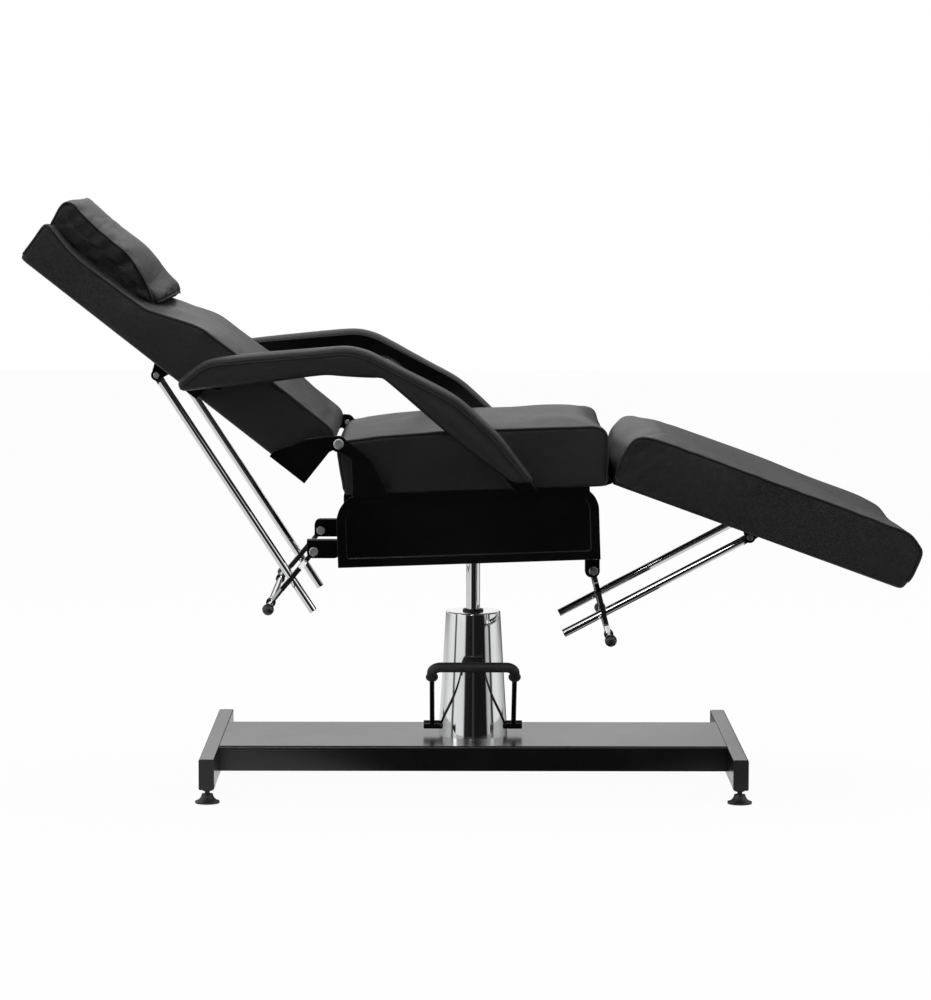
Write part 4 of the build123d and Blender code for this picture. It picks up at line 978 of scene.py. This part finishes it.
@dataclass
class LegRestPad(PaddedPiece):
    """The leg rest's cover, whose rear end swells into the fold."""

    rear_bow: float = 0.016
    top_rise: float = 0.001
    foot_hollow: float = 0.007
    foot_end: float = 0.617
    foot_run: float = 0.150
    rear_run: float = 0.090
    face_height: float = 0.110
    gather_from: float = 0.160
    gather_run: float = 0.170
    gather_above: float = 0.030
    gather_depth: float = 0.0050
    gather_pitch: Triple = (46.0, 4.0, 14.0)
    gather_slant: Place = (30.0, 9.0)
    hinge_to: str = "seat_frame"
    bend_from: float = -0.080
    bend_to: float = 0.060
    bend_height: float = 0.060

    def draw_section(self, along: np.ndarray, out: np.ndarray, lift: float
                     ) -> tuple[np.ndarray, np.ndarray]:
        """Fills the rear end and the face, less so to the foot end.

        Args:
            along: places of the section's points along the part.
            out: places of the points out of the part's face.
            lift: 0 at the side rims, 1 in the middle.

        Returns:
            The new places along and out.
        """
        rear = rising(along, self.rear_run, -self.rear_run)
        upper = rising(out, 0.0, self.face_height)
        flat = rising(along, self.foot_end, -self.foot_run)
        hollow = self.foot_hollow * lift * (1.0 - flat) * upper ** 2
        return (along - self.rear_bow * lift * rear * upper ** 0.5 - hollow,
                out + self.top_rise * lift * upper ** 3 * flat - hollow)

    def dent(self, mesh: Mesh) -> None:
        """Adds the gathers where the cover is squeezed against the seat.

        Args:
            mesh: the cover's mesh.
        """
        places, normals = vertex_array(mesh), normal_array(mesh)
        near = rising(places[:, 0], self.gather_from, -self.gather_run) ** 2
        (a, b, c), (d, e) = self.gather_pitch, self.gather_slant
        waves = np.array([noise.noise((x * a - z * d, y * b, z * c + x * e))
                          for x, y, z in places])
        upper = rising(places[:, 2], 0.0, self.gather_above)
        gathers = self.gather_depth * near * waves * upper
        set_vertices(mesh, places + normals * gathers[:, None])

    def attach(self) -> None:
        """Bakes the cover's placing into its mesh; nothing bends the rear end or ties the cover to
        a body.
        """
        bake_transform(self.blank, self.hinge_to, self.body,
                 start=tuple(self.axes.point(self.bend_from, self.bend_height)),
                 end=tuple(self.axes.point(self.bend_to, self.bend_height)))


class Foam:
    """Swells every padded piece in one run of the timeline."""

    def __init__(self, pieces: Sequence[PaddedPiece]) -> None:
        """Keeps the pieces."""
        self.pieces = list(pieces)

    def run(self) -> None:
        """Lays the pieces out, steps the cloth and takes the result."""
        for piece in self.pieces:
            piece.lay_out()
        for number in range(1, SWELL_FRAMES + 1):
            bpy.context.scene.frame_set(number)
        for piece in self.pieces:
            piece.take_swelling()
            piece.sew()
        bpy.context.scene.frame_set(1)


# --- sub-assemblies


@dataclass
class Couch:
    """Seat, back, headrest and leg rest covers."""

    frame_zero: float = 0.4646
    half_width: float = 0.284
    headrest_half_width: float = 0.197
    seat_tilt: float = 2.0
    back_pivot: Place = (-0.263, 0.2385)
    back_turn: float = 180.0 - 38.05
    leg_hinge: Place = (0.266, 0.1605)
    leg_turn: float = -19.6

    def seat_axes(self) -> SideAxes:
        """Axes of the seat, tilted back a little."""
        return SideAxes(0.0, self.frame_zero, self.seat_tilt)

    def back_axes(self) -> SideAxes:
        """Axes of the back, from the recline pivot up the back."""
        x, rise = self.back_pivot
        return SideAxes(x, self.frame_zero + rise, self.back_turn, flipped=True)

    def leg_axes(self) -> SideAxes:
        """Axes of the leg rest, from its hinge."""
        x, rise = self.leg_hinge
        return SideAxes(x, self.frame_zero + rise, self.leg_turn)

    def seat(self) -> PaddedPiece:
        """The seat cover."""
        return PaddedPiece(
            "seat_cover", "seat_cushion", "seat_frame", self.seat_axes(),
            ((-0.248, 0.146, 0.008), (0.264, 0.146, 0.010), (0.2705, 0.265, 0.030),
             (0.110, 0.2655, 0.3), (-0.060, 0.2650, 0.3), (-0.180, 0.2590, 0.3),
             (-0.262, 0.2510, 0.026)),
            self.half_width, foot=0.146, seam_above=0.154, board=(-0.238, 0.247, 0.272),
            calm_below=-0.235)

    def back(self) -> PaddedPiece:
        """The back cover, thick at the loins and thin behind the headrest."""
        return PaddedPiece(
            "back_cover", "back_cushion", "backrest", self.back_axes(),
            ((0.017, -0.0984, 0.008), (0.706, -0.0984, 0.010), (0.7090, -0.0090, 0.010),
             (0.632, -0.0290, 0.250), (0.455, -0.0250, 0.060), (0.350, 0.0140, 0.120),
             (0.150, 0.0165, 0.4), (0.006, 0.0150, 0.030)),
            self.half_width, crown=0.002, foot=-0.0984, seam_above=-0.090,
            board=(0.030, 0.692, 0.272), pressed=(0.470, 0.700), calm_below=0.040)

    def headrest(self) -> HeadrestPad:
        """The headrest, a wedge that is thickest at the head end."""
        return HeadrestPad(
            "headrest_cover", "headrest_cushion", "backrest", self.back_axes(),
            ((0.4560, -0.0270, 0.006), (0.7040, -0.0270, 0.016), (0.7150, 0.0470, 0.018),
             (0.660, 0.0365, 0.15), (0.545, 0.0300, 0.12), (0.498, 0.0130, 0.060),
             (0.4540, -0.0110, 0.008)),
            self.headrest_half_width, edge_round=0.004, crown=0.005, voxel=0.005,
            billow=0.0025, pucker=0.0080, pucker_reach=0.030, pucker_pitch=0.022,
            bead=0.0022, foot=-0.0270, fill=0.75)

    def leg_rest(self) -> LegRestPad:
        """The leg rest cover, rounded down at the foot end."""
        return LegRestPad(
            "leg_rest_cover", "leg_cushion", "leg_rest", self.leg_axes(),
            ((0.003, 0.0, 0.010), (0.6040, -0.004, 0.006), (0.6170, 0.0290, 0.030),
             (0.6190, 0.0810, 0.012), (0.583, 0.1075, 0.050), (0.400, 0.1095, 0.4),
             (0.070, 0.1130, 0.060), (0.012, 0.1080, 0.065), (0.001, 0.0500, 0.060)),
            self.half_width, crown=0.0, end_bow=0.0, foot=0.0, seam_above=0.012,
            pucker=0.0036, board=(0.017, 0.592, 0.272))


@dataclass
class Arms:
    """Cover pads of the two arms, with outline and corner radii as shares of their length."""

    pivot_x: float = 0.0367
    pivot_z: float = 0.690
    length: float = 0.700
    inner: float = 0.303
    thickness: float = 0.054
    outline_shares: tuple[Place, ...] = (
        (-0.8696, 0.1943), (-0.7953, 0.2571), (-0.3739, 0.2943), (-0.0953, 0.1500),
        (0.0190, 0.0457), (0.1247, -0.0857), (0.0533, -0.0857), (-0.3024, 0.2086),
        (-0.4596, 0.2186), (-0.8610, 0.1657))
    corner_shares: tuple[float, ...] = (
        0.018, 0.12, 0.20, 0.25, 0.25, 0.018, 0.018, 0.08, 0.25, 0.018)

    def pad(self, side: int) -> PaddedPiece:
        """The pad of one arm.

        Args:
            side: -1 for the pedal side, 1 for the other.

        Returns:
            The padded piece.
        """
        where = "near" if side < 0 else "far"
        corners = tuple(
            (x * self.length, z * self.length, r * self.length)
            for (x, z), r in zip(self.outline_shares, self.corner_shares))
        return PaddedPiece(
            f"arm_cover_{where}", f"arm_pad_{where}", f"arm_{where}",
            SideAxes(self.pivot_x, self.pivot_z, 0.0), corners, self.thickness / 2 - 0.002,
            middle=side * (self.inner + self.thickness / 2), edge_round=0.010, crown=0.002,
            end_bow=0.0, swell=0.003, cap=0.005, voxel=0.0045, bead=0.0014, seam_inset=0.014,
            seam_depth=0.0005, seam_up=0.1, pucker=0.0012, pucker_reach=0.016,
            pucker_pitch=0.018, fill=0.9)


class Hardware:
    """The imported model's own pieces, which only get their finish."""

    def __init__(self, materials: dict[Slot, Material]) -> None:
        """Keeps the materials."""
        self.materials = materials

    def dress(self) -> None:
        """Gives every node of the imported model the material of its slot."""
        for part in frame["record"]["subparts"]:
            node = frame["nodes"][part["node"]]
            material = self.materials[Slot(part["material_slot"])]
            node.data.materials.clear()
            node.data.materials.append(material)
            log.info("%s: %s", node.name, material.name)


# --- studio


@dataclass(frozen=True)
class Softbox:
    """A flat lamp aimed at a point."""

    name: str
    place: Triple
    target: Triple
    size: Place
    watts: float

    def build(self) -> None:
        """Adds the lamp."""
        lamp = bpy.data.lights.new(self.name, "AREA")
        lamp.shape = "RECTANGLE"
        lamp.size, lamp.size_y = self.size
        lamp.energy = self.watts
        stand = linked_object(self.name, lamp)
        stand.location = self.place
        aim = Vector(self.target) - Vector(self.place)
        stand.rotation_euler = aim.to_track_quat("-Z", "Y").to_euler()


WHITE = (1.0, 1.0, 1.0, 1.0)


@dataclass
class Studio:
    """Pale floor, white surround, lamps and the camera.

    What shiny surfaces see of the room is told by the pairs: grey cards by angle, ceiling
    greys by rise, and the ranges of rise or depth over which it darkens.
    """

    cards: tuple[Place, ...] = (
        (-180.0, 1.0), (-135.0, 0.85), (-120.0, 0.70), (-96.0, 1.0), (-80.0, 1.0), (-76.0, 0.06),
        (-72.0, 0.06), (-68.0, 0.95), (-40.0, 0.90), (-33.0, 0.80), (-29.0, 0.02), (-4.0, 0.01),
        (-1.0, 0.06), (6.0, 0.01), (46.0, 0.01), (52.0, 0.55), (62.0, 0.60), (66.0, 0.05),
        (72.0, 0.05), (76.0, 0.95), (96.0, 1.0), (120.0, 0.70), (150.0, 0.35), (156.0, 0.08),
        (172.0, 0.08), (176.0, 1.0), (180.0, 1.0))
    ceiling: tuple[Place, ...] = ((0.0, 0.5), (0.25, 0.75), (0.42, 0.90), (0.58, 1.0),
                                  (0.85, 0.9), (1.0, 0.5))
    fill: float = 0.55
    ceiling_from: Place = (0.20, 0.34)
    rear_from: Place = (0.5, 0.9)
    rear_share: float = 0.8
    low_to: Place = (0.06, 0.13)
    front_from: Place = (-0.95, -0.62)
    front_share: float = 0.06
    floor_reach: float = 14.0
    floor_greys: Place = (0.90, 0.92)
    floor_rear: Place = (1.5, 4.0)
    floor_glow: Place = (0.85, 0.2)
    floor_seen: float = 0.96
    camera_place: Triple = (-0.04757, -7.42807, 1.26774)
    camera_turns: Triple = (0.00428, 0.09409, -0.00209)
    camera_sensor: float = 36.0
    camera_reach: float = 3.6947
    softboxes: tuple[Softbox, ...] = (
        Softbox("overhead", (0.0, 0.6, 3.4), (0.0, 0.0, 0.6), (3.6, 2.4), 48.0),
        Softbox("front high", (-0.9, -6.0, 3.5), (-0.2, 0.0, 0.7), (1.4, 0.9), 30.0),
        Softbox("left strip", (-3.2, -1.6, 2.0), (0.0, 0.0, 0.6), (0.8, 2.4), 16.0),
        Softbox("right strip", (3.2, -1.2, 2.2), (0.0, 0.0, 0.6), (0.8, 2.4), 13.0),
    )

    def room_tone(self) -> NodeTree:
        """How bright the room is in each direction round the chair.

        Returns:
            A group that takes a direction or a floor place and puts out a Tone.
        """
        graph, start, end = shader_group("room tone", {}, ("Tone",))
        axes = graph.add("SeparateXYZ", in_0=start["Place"]).outputs
        turn = graph.math("ARCTAN2", axes["X"], graph.math("MULTIPLY", axes["Y"], -1.0))
        share = graph.spread(turn, (-math.pi, math.pi), (0.0, 1.0))
        stops = [(0.5 + angle / 360.0, grey) for angle, grey in self.cards]
        graph.put(graph.greys(share, stops), end["Tone"])
        return graph.tree

    def floor(self, tone: NodeTree) -> None:
        """A pale floor that still takes the chair's shadow.

        Args:
            tone: the room tone group.
        """
        size = self.floor_reach
        ground = linked_object("floor", new_mesh(
            "floor", [(-size, -size, 0), (size, -size, 0), (size, size, 0), (-size, size, 0)],
            [(0, 1, 2, 3)]))
        made = bpy.data.materials.new("pale floor")
        made.use_nodes = True
        graph = Graph(made.node_tree)
        place = graph.add("TexCoord").outputs["Object"]
        speck = graph.add("TexNoise", in_Scale=40.0, in_Detail=3.0, in_Vector=place)
        pale = graph.mix("RGBA", graph.spread(speck.outputs["Fac"], (0.3, 0.7), (0.0, 1.0)),
                         *((grey, grey, grey, 1.0) for grey in self.floor_greys))
        matt = graph.add("BsdfDiffuse", in_Color=pale)
        path = graph.add("LightPath").outputs
        room = graph.add("Group", node_tree=tone, in_Place=place)
        away = graph.add("SeparateXYZ", in_0=place).outputs["Y"]
        rear = graph.spread(away, self.floor_rear, self.floor_glow, smooth=True)
        shine = graph.math("MULTIPLY", room.outputs["Tone"], rear)
        glow = graph.add("Emission",
                         in_Strength=graph.mix("FLOAT", path["Is Glossy Ray"], 1.0, shine))
        seen = graph.math("MULTIPLY", path["Is Camera Ray"], self.floor_seen)
        mix = graph.add("MixShader", in_0=graph.math("MAXIMUM", seen, path["Is Glossy Ray"]),
                        in_1=matt.outputs[0], in_2=glow.outputs[0])
        graph.add("OutputMaterial", in_Surface=mix.outputs[0])
        ground.data.materials.append(made)

    def surround(self, tone: NodeTree) -> None:
        """A white surround, which shiny surfaces see as a room with dark and pale cards.

        Args:
            tone: the room tone group.
        """
        world = bpy.data.worlds.new("surround")
        bpy.context.scene.world = world
        world.use_nodes = True
        graph = Graph(world.node_tree)
        place = graph.add("TexCoord").outputs["Generated"]
        axes = graph.add("SeparateXYZ", in_0=place).outputs
        cards = graph.add("Group", node_tree=tone, in_Place=place)
        over = graph.spread(axes["Z"], self.ceiling_from, (0.0, 1.0), smooth=True)
        rear = graph.spread(axes["Y"], self.rear_from, (0.0, self.rear_share), smooth=True)
        under = graph.spread(axes["Z"], self.low_to, (1.0, 0.0), smooth=True)
        low = graph.math("SUBTRACT", 1.0, graph.math("MULTIPLY", rear, under))
        wall = graph.math("MULTIPLY", graph.math("MULTIPLY", cards.outputs["Tone"], low),
                          graph.math("SUBTRACT", 1.0, over))
        front = graph.spread(axes["Y"], self.front_from, (self.front_share, 1.0), smooth=True)
        above = graph.greys(axes["Z"], self.ceiling)
        sky = graph.math("MULTIPLY", graph.math("MULTIPLY", above, front), over)
        path = graph.add("LightPath").outputs
        strength = graph.mix("FLOAT", path["Is Glossy Ray"], self.fill,
                             graph.math("ADD", wall, sky))
        room = graph.add("Background", in_Color=WHITE, in_Strength=strength)
        white = graph.add("Background", in_Color=WHITE, in_Strength=1.0)
        mix = graph.add("MixShader", in_0=path["Is Camera Ray"], in_1=room.outputs[0],
                        in_2=white.outputs[0])
        graph.add("OutputWorld", in_Surface=mix.outputs[0])

    def camera(self) -> None:
        """The camera at the picture's place, for a frame of 931 by 1000."""
        yaw, pitch, roll = self.camera_turns
        ahead = Vector((math.sin(yaw) * math.cos(pitch), math.cos(yaw) * math.cos(pitch),
                        -math.sin(pitch)))
        right = Vector((math.cos(yaw), -math.sin(yaw), 0.0))
        down = ahead.cross(right)
        right_rolled = right * math.cos(roll) + down * math.sin(roll)
        down_rolled = down * math.cos(roll) - right * math.sin(roll)
        turned = Matrix((right_rolled, -down_rolled, -ahead)).transposed().to_4x4()
        turned.translation = Vector(self.camera_place)
        lens = bpy.data.cameras.new("camera")
        lens.sensor_width = self.camera_sensor
        lens.lens = self.camera_sensor * self.camera_reach
        seat = linked_object("camera", lens)
        seat.matrix_world = turned
        bpy.context.scene.camera = seat

    def build(self) -> None:
        """Sets up the whole studio."""
        tone = self.room_tone()
        self.floor(tone)
        self.surround(tone)
        for box in self.softboxes:
            box.build()
        self.camera()
        bpy.context.scene.view_settings.view_transform = "Standard"


def main() -> None:
    """Builds the chair's looks in order and reports each piece."""
    logging.basicConfig(level=logging.INFO, format="%(name)s %(message)s")
    effects = Effects()
    materials = {slot: finish.material(effects) for slot, finish in FINISHES.items()}
    Studio().build()
    Hardware(materials).dress()
    couch, arms = Couch(), Arms()
    pieces = [couch.seat(), couch.back(), couch.headrest(), couch.leg_rest(),
              arms.pad(-1), arms.pad(1)]
    Foam(pieces).run()
    for piece in pieces:
        piece.fit(materials[Slot.UPHOLSTERY])


if __name__ == "__main__":
    main()
